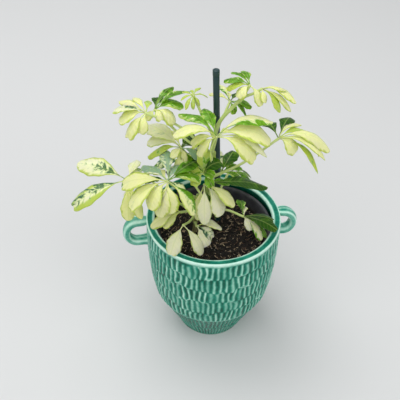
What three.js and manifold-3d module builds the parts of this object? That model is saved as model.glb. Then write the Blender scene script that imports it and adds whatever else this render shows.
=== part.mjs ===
// Umbrella plant with cream and green leaves in its nursery pot, standing in a glazed cachepot.
// Millimetres, +Z up. The origin is the middle of the cachepot's flat foot. The two handles lie on
// the X axis, and the side of the plant that is meant to be looked at faces -Y.
import * as THREE from 'three';
import { mergeVertices } from 'three/addons/utils/BufferGeometryUtils.js';
import Module from 'manifold-3d';

const wasm = await Module();
wasm.setup();

// Clearance between pieces that rest on or in each other
const SEAT = 0.3;

// Vertices closer than this are one vertex
const MERGE_DISTANCE = 1e-3;

// Cachepot body
const POT_HEIGHT = 165;
const RIM_RADIUS = 75;
const WALL = 5.5;
const FOOT_RADIUS = 36.5;
const FOOT_EDGE = 1.6;
const WAIST_RADIUS = 62.5;
const WAIST_HEIGHT = 57;
const WAIST_BAND = 1.2;
const BOWL_BOTTOM = 59.5;
const BEAD_HEIGHT = 5;
const BEAD_THICKNESS = 8.8;
const BEAD_SHOULDER = 1.5;
const BEAD_EASE = 1.2;

// The bowl's curve is a rounded quarter from its top down to the height where it would turn level
const CURVE_TOP = 158;
const CURVE_TOP_RADIUS = 74.2;
const CURVE_BOTTOM = 41;
const CURVE_BOTTOM_RADIUS = 54;
const CURVE_ROUNDNESS = 2.2;

// Carved flutes, alternately ridge and groove, in rows with a wavy border between them
const FLUTE_COLUMNS = 144;
const FLUTE_DEPTH = 1.2;
const FLUTE_BORDER = 1.4;
const BORDER_WAVE = 1.4;
const BORDER_WAVES_ROUND = 5;
const BORDER_TURN = 2;
const BOWL_ROWS = 5;
const CONE_ROWS = 2;

// Inside of the cachepot
const CAVITY_SIDES = 36;
const CAVITY_HEIGHTS = [47, 62, 88, 120];
const MOUTH_DEPTH = 6;
const MOUTH_FLARE = 0.6;
const CUT_MARGIN = 1;
const LEDGE_HEIGHT = 40;
const LEDGE_OUTER = 48;
const LEDGE_INNER = 38;
const WELL_FLOOR = 10;
const WELL_RADIUS = 32;

// Ear handles, each a strap bent from the wall round to the wall again
const HANDLE_CENTRE = 83;
const HANDLE_HEIGHT = 148;
const HANDLE_REACH = 12;
const HANDLE_RISE = 11.5;
const HANDLE_SINK = 71;
const STRAP_WIDTH = 15;
const STRAP_THICKNESS = 8;
const STRAP_SQUARENESS = 0.65;
const STRAP_SIDES = 10;
const STRAP_STEPS = 9;

// Nursery pot
const NURSERY_BASE_RADIUS = 43.5;
const NURSERY_TOP_RADIUS = 63;
const NURSERY_TOP = 155;
const NURSERY_WALL = 1.4;
const NURSERY_LIP = 2.2;
const NURSERY_LIP_HEIGHT = 7;
const NURSERY_SIDES = 36;
const DRAIN_HOLES = 6;
const DRAIN_RADIUS = 4.5;
const DRAIN_CIRCLE = 28;
const DRAIN_SIDES = 8;
const DRILL_LENGTH = 6;

// Potting soil
const SOIL_TOP = 138;
const SOIL_MOUND = 8;
const SOIL_LUMP = 1.8;
const SOIL_COLUMNS = 36;
const SOIL_SEED = 41;
const SOIL_RINGS = [11, 24, 37, 50];

// Support stake
const STAKE_RADIUS = 3.3;
const STAKE_FOOT = [11, 12, 62];
const STAKE_TOP = [-0.5, 13, 343];
const STAKE_SIDES = 12;
const STAKE_TIP = 3;
const STAKE_TIP_RADIUS = 1.8;

// Stems: path points from the cut in the soil up to the growing tip, and the radius at each end
const MAIN_STEM = {
  path: [[-8, 4, 116], [-9, 4, 150], [-8, 3, 195], [-6, 2, 235], [-2, 2, 270], [3, 2, 292],
    [15, 2, 308], [29, 1, 324]],
  bottom: 3.7,
  top: 1.6,
};
const SIDE_STEM = {
  path: [[-21, 0, 118], [-21, -1, 150], [-20, -3, 180], [-19, -6, 205]],
  bottom: 3.1,
  top: 1.6,
};
const STEM_SIDES = 8;
const STEM_STEP = 16;
const STEM_SEARCH = 1e-4;

// Leaves: a stalk from the stem to a hub, and leaflets round the hub
const PETIOLE_FOOT_RADIUS = 1.5;
const PETIOLE_RADIUS = 1.1;
const PETIOLE_FOOT_SHARE = 1 / 3;
const PETIOLE_SAG = 0.08;
const PETIOLE_SIDES = 5;
const PETIOLE_STEPS = 3;
const HUB_RADIUS = 2.7;
const STALK_SHARE = 0.15;
const STALK_HALF_WIDTH = 0.65;
const BLADE_THICKNESS = 1;
const WIDEST = 0.62;
const TIP_BLUNTNESS = 0.65;
const FOLD_AT_STALK = 0.4;
const FOLD_AT_TIP = -0.15;
const MARGIN_WAVE = 0.7;
const MARGIN_TURN = 9;
const LONG_SECTIONS = [0, 0.18, 0.4, 0.65, 0.88];
const SHORT_SECTIONS = [0, 0.25, 0.55, 0.86];
const SHORT_BLADE = 37;
const LEAFLET_ARCH = 0.14;
const HIGH_ARCH = 0.2;
const LEAF_SEED = 100;

// One row for each leaflet: bearing round the hub and rise of the line from hub to tip in degrees,
// then length and width. A fifth number tilts the blade about that line, in degrees.
const LEAVES = [
  // Low leaves that hang over the soil
  {
    name: 'leaf_01', stem: MAIN_STEM, at: 163, hub: [31, -13, 172],
    leaflets: [[-42, 0, 42, 15], [-28, 0, 34, 12], [-60, -20, 34, 11], [-46, -22, 35, 8],
      [-75, -10, 19, 10], [74, -5, 21, 7], [62, 2, 38, 13]],
  },
  {
    name: 'leaf_02', stem: SIDE_STEM, at: 160, hub: [-23, -26, 177],
    leaflets: [[-63, -30, 25, 15], [-5, -5, 28, 14], [-35, -22, 23, 12]],
  },
  {
    name: 'leaf_03', stem: SIDE_STEM, at: 172, hub: [-38, -29, 183],
    leaflets: [[-122, -24, 36, 19], [-54, -35, 37, 18]],
  },
  {
    name: 'leaf_04', stem: SIDE_STEM, at: 184, hub: [-39, -18, 192],
    leaflets: [[-167, -15, 34, 15], [-145, -15, 20, 11], [178, 4, 24, 9]],
  },
  // Middle leaves
  {
    name: 'leaf_05', stem: MAIN_STEM, at: 178, hub: [-13, -10, 221],
    leaflets: [[-97, -45, 42, 16], [-58, -40, 38, 17], [-30, -25, 40, 17], [-5, -5, 68, 22],
      [-78, -58, 38, 13], [12, -14, 30, 10]],
  },
  {
    name: 'leaf_06', stem: MAIN_STEM, at: 172, hub: [-93, 10, 219],
    leaflets: [[158, 5, 56, 24, -25], [-165, -20, 68, 25, -25], [66, 5, 33, 13], [44, 0, 27, 9],
      [-96, -60, 43, 16], [-66, -45, 43, 12]],
  },
  {
    name: 'leaf_07', stem: MAIN_STEM, at: 190, hub: [12, 28, 203],
    leaflets: [[56, 5, 38, 20], [18, -5, 27, 12], [84, 0, 26, 11], [110, -15, 34, 14],
      [-10, -20, 26, 10]],
  },
  {
    name: 'leaf_08', stem: SIDE_STEM, at: 198, hub: [-53, -22, 240],
    leaflets: [[172, -5, 47, 20], [-157, -20, 51, 19], [-136, -30, 34, 17], [-119, -45, 38, 15],
      [-91, -43, 32, 21], [132, 5, 35, 15], [93, 15, 44, 14], [54, 5, 28, 11], [33, 10, 41, 14],
      [12, -10, 37, 15], [-48, -40, 42, 17], [112, -8, 28, 13], [-22, -34, 26, 11]],
  },
  {
    name: 'leaf_09', stem: MAIN_STEM, at: 224, hub: [-14, -10, 236],
    leaflets: [[20, 72, 26, 18, 90], [-12, 45, 23, 14, 50], [-60, 30, 18, 10, 30]],
  },
  {
    name: 'leaf_10', stem: MAIN_STEM, at: 218, hub: [62, -10, 274], arch: HIGH_ARCH,
    leaflets: [[57, 5, 37, 16], [30, 10, 32, 9], [16, 0, 33, 10], [-24, 0, 53, 17],
      [-34, -8, 53, 11], [-18, -18, 50, 12], [-36, -30, 54, 11], [-45, -15, 23, 17],
      [100, 0, 31, 14]],
  },
  {
    name: 'leaf_11', stem: MAIN_STEM, at: 226, hub: [-35, 11, 256],
    leaflets: [[130, 8, 46, 22], [154, 0, 35, 15], [176, -15, 37, 16], [62, 10, 17, 8],
      [105, 10, 27, 9], [32, 12, 20, 9], [-128, 4, 20, 9]],
  },
  // Top leaves
  {
    name: 'leaf_12', stem: MAIN_STEM, at: 250, hub: [-4, -20, 290], arch: HIGH_ARCH,
    leaflets: [[-168, 5, 45, 20], [-178, -20, 25, 12], [-160, -38, 21, 12], [137, 8, 44, 13],
      [102, 15, 36, 14], [-4, 10, 57, 22], [-17, 0, 56, 26], [-32, -20, 46, 20],
      [-24, -12, 53, 10], [28, -8, 24, 10]],
  },
  {
    name: 'leaf_13', stem: MAIN_STEM, at: 212, hub: [-70, 12, 302],
    leaflets: [[165, -5, 34, 17], [-172, -20, 28, 16], [-145, -35, 32, 12], [-122, -40, 20, 11],
      [108, -5, 33, 10], [80, -5, 26, 9], [137, -5, 35, 10]],
  },
  {
    name: 'leaf_14', stem: MAIN_STEM, at: 244, hub: [-60, 22, 298],
    leaflets: [[-142, -20, 14, 9], [-70, -8, 15, 9], [-28, -20, 22, 15], [18, 0, 31, 15],
      [65, 0, 24, 14], [52, 15, 37, 9], [25, 10, 44, 11]],
  },
  {
    name: 'leaf_15', stem: MAIN_STEM, at: 272, hub: [-22, 16, 316],
    leaflets: [[-160, 10, 19, 5], [-130, -10, 19, 5], [-95, -20, 19, 5], [-50, -15, 18, 5],
      [10, 0, 18, 5], [55, 10, 20, 5], [95, 5, 20, 5], [135, 0, 20, 5]],
  },
  {
    name: 'leaf_16', stem: MAIN_STEM, at: 288, hub: [17, 24, 300],
    leaflets: [[105, 5, 33, 10], [135, 0, 26, 8], [83, 0, 19, 7], [54, 0, 20, 10],
      [-5, -15, 24, 10], [-28, -30, 22, 9], [-78, -30, 14, 8]],
  },
  {
    name: 'leaf_17', stem: MAIN_STEM, at: 316, hub: [31, 1, 333],
    leaflets: [[148, 5, 28, 12], [95, 10, 27, 10], [116, 5, 32, 9], [165, -10, 23, 11],
      [-152, -25, 17, 14], [-58, -35, 23, 11]],
  },
  {
    name: 'leaf_18', stem: MAIN_STEM, at: 321, hub: [42, -3, 331],
    leaflets: [[-25, 5, 25, 8], [-30, -10, 38, 10], [-30, -30, 37, 9], [-50, -30, 31, 8],
      [-86, -30, 15, 7]],
  },
  // Leaves at the back
  {
    name: 'leaf_19', stem: MAIN_STEM, at: 184, hub: [-26, 56, 200],
    leaflets: [[150, -25, 46, 18], [115, -30, 50, 19], [80, -30, 50, 19], [45, -35, 46, 18],
      [-178, 2, 32, 14], [15, -35, 34, 13]],
  },
  {
    name: 'leaf_20', stem: MAIN_STEM, at: 168, hub: [26, 54, 180],
    leaflets: [[130, -25, 42, 16], [95, -25, 48, 18], [60, -30, 46, 17], [25, -30, 40, 15],
      [-10, -20, 30, 12]],
  },
  {
    name: 'leaf_21', stem: MAIN_STEM, at: 160, hub: [-66, 42, 190],
    leaflets: [[172, -35, 40, 16], [140, -30, 48, 18], [105, -35, 46, 18], [72, -38, 27, 12]],
  },
];

// Repeatable random numbers between 0 and 1
function randomStream(seed) {
  let state = seed;
  return () => {
    state = (Math.imul(state, 1664525) + 1013904223) >>> 0;
    return state / 4294967296;
  };
}

// A solid from a list of points and a list of triangles
function solidFrom(points, triangles) {
  const mesh = new wasm.Mesh({
    numProp: 3,
    vertProperties: Float32Array.from(points.flatMap((point) => [point.x, point.y, point.z])),
    triVerts: Uint32Array.from(triangles.flat()),
  });
  return new wasm.Manifold(mesh);
}

// A solid from one of the ready-made geometries, moved to its place
function solidFromGeometry(source, place) {
  source.deleteAttribute('normal');
  source.deleteAttribute('uv');
  const merged = mergeVertices(source, MERGE_DISTANCE);
  const position = merged.getAttribute('position');
  const points = [];
  for (let i = 0; i < position.count; i += 1) {
    points.push(new THREE.Vector3().fromBufferAttribute(position, i).add(place));
  }
  const index = Array.from(merged.index.array);
  const triangles = [];
  for (let i = 0; i < index.length; i += 3) {
    const [a, b, c] = index.slice(i, i + 3);
    if (a !== b && b !== c && c !== a) triangles.push([a, b, c]);
  }
  return solidFrom(points, triangles);
}

// The closed skin through a row of rings with the same number of points each, counter-clockwise
// seen against the direction of the row. A fan closes each end.
function loft(rings) {
  const count = rings[0].length;
  const points = rings.flat();
  const triangles = [];
  for (let i = 0; i + 1 < rings.length; i += 1) {
    for (let j = 0; j < count; j += 1) {
      const next = (j + 1) % count;
      const a = i * count + j;
      const b = i * count + next;
      const c = a + count;
      const d = b + count;
      triangles.push([a, b, d], [a, d, c]);
    }
  }
  const centre = (ring) => ring.reduce((sum, p) => sum.add(p), new THREE.Vector3()).divideScalar(count);
  const first = points.push(centre(rings[0])) - 1;
  const last = points.push(centre(rings.at(-1))) - 1;
  const lastRing = (rings.length - 1) * count;
  for (let j = 0; j < count; j += 1) {
    const next = (j + 1) % count;
    triangles.push([first, next, j], [last, lastRing + j, lastRing + next]);
  }
  return solidFrom(points, triangles);
}

// A round rod along a curve, whose radius is a function of the share of the length. Both ends are
// drawn out by the same overhang, which gives a hole its clearance at the ends.
function rod(curve, steps, sides, radiusAt, overhang = 0) {
  const frames = curve.computeFrenetFrames(steps, false);
  const rings = [];
  for (let i = 0; i <= steps; i += 1) {
    const share = i / steps;
    const middle = curve.getPointAt(share);
    if (i === 0) middle.addScaledVector(frames.tangents[i], -overhang);
    if (i === steps) middle.addScaledVector(frames.tangents[i], overhang);
    const radius = radiusAt(share);
    const ring = [];
    for (let j = 0; j < sides; j += 1) {
      const angle = (2 * Math.PI * j) / sides;
      ring.push(middle.clone()
        .addScaledVector(frames.normals[i], radius * Math.cos(angle))
        .addScaledVector(frames.binormals[i], radius * Math.sin(angle)));
    }
    rings.push(ring);
  }
  return loft(rings);
}

// A ring of points round the Z axis, whose radius and height are functions of the column
function ringOf(radiusAt, heightAt, columns) {
  const ring = [];
  for (let j = 0; j < columns; j += 1) {
    const angle = (2 * Math.PI * j) / columns;
    const radius = radiusAt(j, angle);
    ring.push(new THREE.Vector3(
      radius * Math.cos(angle),
      radius * Math.sin(angle),
      heightAt(j, angle),
    ));
  }
  return ring;
}

function vector(place) {
  return new THREE.Vector3(...place);
}

function smoothPath(points) {
  return new THREE.CatmullRomCurve3(points.map(vector), false, 'centripetal');
}

// Outside radius of the smooth bowl at a height
function bowlRadius(height) {
  const share = (CURVE_TOP - height) / (CURVE_TOP - CURVE_BOTTOM);
  const drop = 1 - Math.sqrt(Math.max(0, 1 - Math.max(0, share) ** CURVE_ROUNDNESS));
  return CURVE_TOP_RADIUS - (CURVE_TOP_RADIUS - CURVE_BOTTOM_RADIUS) * drop;
}

function coneRadius(height) {
  return FOOT_RADIUS + ((WAIST_RADIUS - FOOT_RADIUS) * height) / WAIST_HEIGHT;
}

function outerRadius(height) {
  return height < BOWL_BOTTOM ? coneRadius(height) : bowlRadius(height);
}

// Two rings for each row of flutes, with the ridges of one row over the grooves of the next
function flutedRings(bottom, top, rows, profile) {
  const rings = [];
  for (let row = 0; row < rows; row += 1) {
    for (const end of [0, 1]) {
      const border = bottom + ((top - bottom) * (row + end)) / rows;
      const inset = end === 0 ? FLUTE_BORDER : -FLUTE_BORDER;
      const isEdge = row + end === 0 || row + end === rows;
      const turn = BORDER_TURN * (row + end);
      const wave = (angle) => BORDER_WAVE * Math.sin(BORDER_WAVES_ROUND * angle + turn);
      const heightAt = (j, angle) => border + inset + (isEdge ? 0 : wave(angle));
      const radiusAt = (j, angle) => {
        const ridge = (j + row) % 2 === 0 ? FLUTE_DEPTH / 2 : -FLUTE_DEPTH / 2;
        return profile(heightAt(j, angle)) + ridge;
      };
      rings.push(ringOf(radiusAt, heightAt, FLUTE_COLUMNS));
    }
  }
  return rings;
}

function plainRings(profile, columns) {
  return profile.map(([radius, height]) => ringOf(() => radius, () => height, columns));
}

// Rounds a sine or cosine towards the corners of a square
function softSquare(value) {
  return Math.sign(value) * Math.abs(value) ** STRAP_SQUARENESS;
}

// One ear handle on the side of the given sign: a strap whose flat sections follow a half circle
function handle(side) {
  const path = [[HANDLE_SINK, HANDLE_RISE]];
  for (let i = 0; i <= STRAP_STEPS; i += 1) {
    const turn = Math.PI / 2 - (Math.PI * i) / STRAP_STEPS;
    path.push([HANDLE_CENTRE + HANDLE_REACH * Math.cos(turn), HANDLE_RISE * Math.sin(turn)]);
  }
  path.push([HANDLE_SINK, -HANDLE_RISE]);
  const rings = path.map(([x, z], i) => {
    const before = path[Math.max(0, i - 1)];
    const after = path[Math.min(path.length - 1, i + 1)];
    const along = new THREE.Vector2(after[0] - before[0], after[1] - before[1]).normalize();
    const ring = [];
    for (let j = 0; j < STRAP_SIDES; j += 1) {
      const angle = (2 * Math.PI * (j + 0.5)) / STRAP_SIDES;
      const out = (STRAP_THICKNESS / 2) * softSquare(Math.cos(angle));
      const aside = (STRAP_WIDTH / 2) * softSquare(Math.sin(angle));
      ring.push(new THREE.Vector3(
        side * (x - along.y * out),
        -side * aside,
        HANDLE_HEIGHT + z + along.x * out,
      ));
    }
    return ring;
  });
  return loft(rings);
}

// The body with its bead, flutes and handles, hollowed out down to a stepped well
function cachepot() {
  const beadBottom = POT_HEIGHT - BEAD_HEIGHT;
  const outside = loft([
    ...plainRings([[FOOT_RADIUS, 0], [FOOT_RADIUS + FOOT_EDGE, FOOT_EDGE]], FLUTE_COLUMNS),
    ...flutedRings(FOOT_EDGE, WAIST_HEIGHT, CONE_ROWS, coneRadius),
    ...plainRings([
      [WAIST_RADIUS, WAIST_HEIGHT + WAIST_BAND],
      [bowlRadius(BOWL_BOTTOM), BOWL_BOTTOM],
    ], FLUTE_COLUMNS),
    ...flutedRings(BOWL_BOTTOM, beadBottom, BOWL_ROWS, bowlRadius),
    ...plainRings([
      [RIM_RADIUS, beadBottom + BEAD_SHOULDER],
      [RIM_RADIUS, POT_HEIGHT - BEAD_SHOULDER],
      [RIM_RADIUS - BEAD_EASE, POT_HEIGHT],
    ], FLUTE_COLUMNS),
  ]);
  const mouthRadius = RIM_RADIUS - BEAD_THICKNESS;
  const cavity = loft(plainRings([
    [WELL_RADIUS, WELL_FLOOR],
    [LEDGE_INNER, LEDGE_HEIGHT],
    [LEDGE_OUTER, LEDGE_HEIGHT],
    ...CAVITY_HEIGHTS.map((height) => [outerRadius(height) - WALL, height]),
    [mouthRadius, POT_HEIGHT - MOUTH_DEPTH],
    [mouthRadius + MOUTH_FLARE, POT_HEIGHT + CUT_MARGIN],
  ], CAVITY_SIDES));
  return outside.add(handle(1)).add(handle(-1)).subtract(cavity);
}

// Outside radius of the nursery pot's tapered wall at a height
function nurseryRadius(height) {
  const base = LEDGE_HEIGHT + SEAT;
  const share = (height - base) / (NURSERY_TOP - base);
  return NURSERY_BASE_RADIUS + (NURSERY_TOP_RADIUS - NURSERY_BASE_RADIUS) * share;
}

// Thin plastic pot with a lip and drain holes, which stands on the ledge inside the cachepot
function nurseryPot() {
  const base = LEDGE_HEIGHT + SEAT;
  const lipBottom = NURSERY_TOP - NURSERY_LIP_HEIGHT;
  const profile = [
    [NURSERY_BASE_RADIUS, base],
    [nurseryRadius(lipBottom), lipBottom],
    [NURSERY_TOP_RADIUS + NURSERY_LIP, lipBottom],
    [NURSERY_TOP_RADIUS + NURSERY_LIP, NURSERY_TOP],
    [NURSERY_TOP_RADIUS - NURSERY_WALL, NURSERY_TOP],
    [nurseryRadius(base + NURSERY_WALL) - NURSERY_WALL, base + NURSERY_WALL],
  ];
  let pot = loft(plainRings(profile, NURSERY_SIDES));
  for (let i = 0; i < DRAIN_HOLES; i += 1) {
    const angle = (2 * Math.PI * i) / DRAIN_HOLES;
    const drill = new THREE.CylinderGeometry(DRAIN_RADIUS, DRAIN_RADIUS, DRILL_LENGTH, DRAIN_SIDES);
    drill.rotateX(Math.PI / 2);
    const place = new THREE.Vector3(
      DRAIN_CIRCLE * Math.cos(angle),
      DRAIN_CIRCLE * Math.sin(angle),
      base + NURSERY_WALL / 2,
    );
    pot = pot.subtract(solidFromGeometry(drill, place));
  }
  return pot;
}

// A stem as a solid, with extra added all round for the hole that it stands in
function stemRod(stem, extra) {
  const curve = smoothPath(stem.path);
  const steps = Math.round(curve.getLength() / STEM_STEP);
  const radiusAt = (share) => THREE.MathUtils.lerp(stem.bottom, stem.top, share) + extra;
  return rod(curve, steps, STEM_SIDES, radiusAt, extra);
}

// Point on a stem's middle line at a height, found by halving
function stemPointAt(stem, height) {
  const curve = smoothPath(stem.path);
  let low = 0;
  let high = 1;
  while (high - low > STEM_SEARCH) {
    const middle = (low + high) / 2;
    if (curve.getPointAt(middle).z < height) low = middle;
    else high = middle;
  }
  return curve.getPointAt(low);
}

// The stake with its blunt tip, with extra added all round for the hole that it stands in
function stakeRod(extra) {
  const foot = vector(STAKE_FOOT);
  const top = vector(STAKE_TOP);
  const length = foot.distanceTo(top);
  const lower = top.clone().lerp(foot, STAKE_TIP / length);
  const curve = new THREE.LineCurve3(foot, lower);
  const shaft = rod(curve, 1, STAKE_SIDES, () => STAKE_RADIUS + extra, extra);
  const cap = rod(new THREE.LineCurve3(lower, top), 1, STAKE_SIDES, (share) => (
    THREE.MathUtils.lerp(STAKE_RADIUS, STAKE_TIP_RADIUS, share) + extra));
  return shaft.add(cap);
}

// Lumpy soil that fills the nursery pot, with holes for the stems and the stake
function soil() {
  const random = randomStream(SOIL_SEED);
  const bottom = LEDGE_HEIGHT + SEAT + NURSERY_WALL + SEAT;
  const wallRadius = (height) => nurseryRadius(height) - NURSERY_WALL - SEAT;
  const topHeight = (radius) => SOIL_TOP + SOIL_MOUND * (1 - (radius / wallRadius(SOIL_TOP)) ** 2);
  const lumps = [...SOIL_RINGS].reverse().map((radius) => ringOf(
    () => radius,
    () => topHeight(radius) + SOIL_LUMP * (random() - 0.5) * 2,
    SOIL_COLUMNS,
  ));
  const body = loft([
    ringOf(() => wallRadius(bottom), () => bottom, SOIL_COLUMNS),
    ringOf(() => wallRadius(SOIL_TOP), () => SOIL_TOP, SOIL_COLUMNS),
    ...lumps,
  ]);
  return body
    .subtract(stemRod(MAIN_STEM, SEAT))
    .subtract(stemRod(SIDE_STEM, SEAT))
    .subtract(stakeRod(SEAT));
}

// Half width of a leaflet at a share of its length: a thin stalk, then broadest past the middle
function halfWidth(share, width) {
  if (share <= STALK_SHARE) return STALK_HALF_WIDTH;
  const along = (share - STALK_SHARE) / (1 - STALK_SHARE);
  const widestAlong = (WIDEST - STALK_SHARE) / (1 - STALK_SHARE);
  const power = Math.log(0.5) / Math.log(widestAlong);
  const swell = Math.sin(Math.PI * along ** power) ** TIP_BLUNTNESS;
  return Math.max(STALK_HALF_WIDTH, (width / 2) * swell);
}

// One leaflet: each section is a flat diamond of left edge, upper and under side of the midrib, and
// right edge, and the blade ends in a point
function leaflet(hub, spec, arch, random) {
  const [bearing, rise, length, width, tilt = 0] = spec;
  const turn = THREE.MathUtils.degToRad(bearing);
  const lift = THREE.MathUtils.degToRad(rise);
  const lean = THREE.MathUtils.degToRad(tilt);
  const along = new THREE.Vector3(
    Math.cos(turn) * Math.cos(lift),
    Math.sin(turn) * Math.cos(lift),
    Math.sin(lift),
  );
  const flatSide = new THREE.Vector3(-Math.sin(turn), Math.cos(turn), 0);
  const bow = new THREE.Vector3().crossVectors(along, flatSide);
  const side = flatSide.clone().multiplyScalar(Math.cos(lean)).addScaledVector(bow, Math.sin(lean));
  const face = new THREE.Vector3().crossVectors(along, side);
  const shares = length < SHORT_BLADE ? SHORT_SECTIONS : LONG_SECTIONS;
  const phase = 2 * Math.PI * random();
  const points = [];
  for (const share of shares) {
    const middle = hub.clone()
      .addScaledVector(along, length * share)
      .addScaledVector(bow, arch * length * 4 * share * (1 - share));
    const half = halfWidth(share, width);
    const fold = half * THREE.MathUtils.lerp(FOLD_AT_STALK, FOLD_AT_TIP, share);
    for (const sign of [-1, 1]) {
      const wave = MARGIN_WAVE * Math.sin(MARGIN_TURN * share + phase + sign) * (half / width);
      points.push(middle.clone().addScaledVector(side, sign * half).addScaledVector(face, fold + wave));
    }
    points.push(middle.clone().addScaledVector(face, BLADE_THICKNESS / 2));
    points.push(middle.clone().addScaledVector(face, -BLADE_THICKNESS / 2));
  }
  const tip = points.push(hub.clone().addScaledVector(along, length)) - 1;
  const triangles = [[0, 2, 1], [0, 1, 3]];
  for (let i = 0; i + 1 < shares.length; i += 1) {
    const [right, left, upper, under] = [0, 1, 2, 3].map((corner) => i * 4 + corner);
    const [rightNext, leftNext, upperNext, underNext] = [4, 5, 6, 7].map((corner) => i * 4 + corner);
    triangles.push([left, upper, upperNext], [left, upperNext, leftNext]);
    triangles.push([right, upperNext, upper], [right, rightNext, upperNext]);
    triangles.push([left, underNext, under], [left, leftNext, underNext]);
    triangles.push([right, under, underNext], [right, underNext, rightNext]);
  }
  const [right, left, upper, under] = [5, 4, 3, 2].map((back) => tip - back + 1);
  triangles.push([left, upper, tip], [upper, right, tip], [under, left, tip], [right, under, tip]);
  return solidFrom(points, triangles);
}

// A leaf: its stalk is cut square to the stem's own skin, so that it sits on the stem
function leaf(spec, seed) {
  const random = randomStream(seed);
  const hub = vector(spec.hub);
  const foot = stemPointAt(spec.stem, spec.at);
  const reach = hub.clone().sub(foot);
  const elbow = foot.clone().lerp(hub, 0.5);
  elbow.z -= PETIOLE_SAG * Math.hypot(reach.x, reach.y);
  const curve = new THREE.CatmullRomCurve3([foot, elbow, hub], false, 'centripetal');
  const petiole = rod(curve, PETIOLE_STEPS, PETIOLE_SIDES, (share) => (
    THREE.MathUtils.lerp(
      PETIOLE_FOOT_RADIUS,
      PETIOLE_RADIUS,
      Math.min(1, share / PETIOLE_FOOT_SHARE),
    )));
  let body = petiole.add(solidFromGeometry(new THREE.OctahedronGeometry(HUB_RADIUS, 0), hub));
  for (const blade of spec.leaflets) {
    body = body.add(leaflet(hub, blade, spec.arch ?? LEAFLET_ARCH, random));
  }
  return body.subtract(stemRod(spec.stem, SEAT));
}

function toGeometry(body) {
  const mesh = body.getMesh();
  const geometry = new THREE.BufferGeometry();
  const positions = [];
  for (let i = 0; i < mesh.numVert; i += 1) {
    positions.push(...mesh.vertProperties.slice(i * mesh.numProp, i * mesh.numProp + 3));
  }
  geometry.setAttribute('position', new THREE.Float32BufferAttribute(positions, 3));
  geometry.setIndex(Array.from(mesh.triVerts));
  geometry.computeVertexNormals();
  return geometry;
}

const group = new THREE.Group();

function addPiece(name, body, color, roughness) {
  const material = new THREE.MeshStandardMaterial({ color, roughness, metalness: 0 });
  const mesh = new THREE.Mesh(toGeometry(body), material);
  mesh.name = name;
  group.add(mesh);
}

addPiece('cachepot', cachepot(), 0x3f9c84, 0.15);
addPiece('nursery_pot', nurseryPot(), 0x3a3a40, 0.6);
addPiece('soil', soil(), 0x1c1712, 0.95);
addPiece('stake', stakeRod(0), 0x1e3c41, 0.45);
addPiece('stem_main', stemRod(MAIN_STEM, 0), 0x9fb860, 0.55);
addPiece('stem_side', stemRod(SIDE_STEM, 0), 0x9fb860, 0.55);
LEAVES.forEach((spec, i) => addPiece(spec.name, leaf(spec, LEAF_SEED + i), 0xdfe39a, 0.35));

export default group;
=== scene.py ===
import math

import bpy
import numpy as np
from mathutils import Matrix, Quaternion, Vector


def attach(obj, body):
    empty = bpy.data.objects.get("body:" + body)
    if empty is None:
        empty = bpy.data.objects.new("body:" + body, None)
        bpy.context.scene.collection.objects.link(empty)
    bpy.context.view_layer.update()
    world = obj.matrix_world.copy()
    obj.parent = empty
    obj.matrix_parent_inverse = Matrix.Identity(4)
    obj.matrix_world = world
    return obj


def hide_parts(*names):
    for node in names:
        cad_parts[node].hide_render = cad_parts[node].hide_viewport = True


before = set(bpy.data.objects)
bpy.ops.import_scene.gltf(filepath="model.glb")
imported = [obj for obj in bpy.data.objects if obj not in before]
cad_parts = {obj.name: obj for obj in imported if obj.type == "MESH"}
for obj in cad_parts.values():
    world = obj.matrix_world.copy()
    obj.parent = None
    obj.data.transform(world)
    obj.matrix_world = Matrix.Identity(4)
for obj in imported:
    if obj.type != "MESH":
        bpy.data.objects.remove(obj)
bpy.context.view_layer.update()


# Camera. The plant is looked down on from the front, a little from its left, with a slightly long lens.
CAMERA_RISE = math.radians(42)
CAMERA_TURN = math.radians(-9.4)
CAMERA_ROLL = math.radians(1.2)
CAMERA_DISTANCE = 0.8
CAMERA_TARGET = Vector((-0.0153, 0.0025, 0.1883))
SENSOR_WIDTH = 36
LENS_LENGTH = 65.83

level_ahead = Vector((-math.sin(CAMERA_TURN), math.cos(CAMERA_TURN), 0))
camera_back = Vector((0, 0, math.sin(CAMERA_RISE))) - level_ahead * math.cos(CAMERA_RISE)
camera_data = bpy.data.cameras.new("camera")
camera_data.sensor_width = SENSOR_WIDTH
camera_data.lens = LENS_LENGTH
camera = bpy.data.objects.new("camera", camera_data)
bpy.context.collection.objects.link(camera)
camera.rotation_mode = "QUATERNION"
camera.location = CAMERA_TARGET + camera_back * CAMERA_DISTANCE
camera.rotation_quaternion = camera_back.to_track_quat("Z", "Y")
camera.rotation_quaternion.rotate(Quaternion(camera_back, CAMERA_ROLL))
bpy.context.scene.camera = camera


# Studio. A pale seamless floor, a large soft lamp at the upper left, a weaker one at the right and
# one overhead a little behind the plant, with an even pale surrounding light.
bpy.context.scene.view_settings.view_transform = "Standard"
# Place of each lamp in metres, its width and its watts
LAMPS = {
    "key": ((-0.8, -1.2, 2.2), 2.8, 31),
    "fill": ((1.1, -1.1, 1.3), 1.4, 7),
    "overhead": ((-0.4, 0.7, 1.9), 1.4, 17),
}
LAMP_AIM = Vector((0, 0, 0.17))
SURROUNDINGS = 0.5
FLOOR_SIZE = 6


def linear(code):
    """A colour for a shader from its sRGB hex code."""
    parts = [int(code[i:i + 2], 16) / 255 for i in (1, 3, 5)]
    return tuple(c / 12.92 if c <= 0.04045 else ((c + 0.055) / 1.055) ** 2.4 for c in parts) + (1,)


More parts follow.
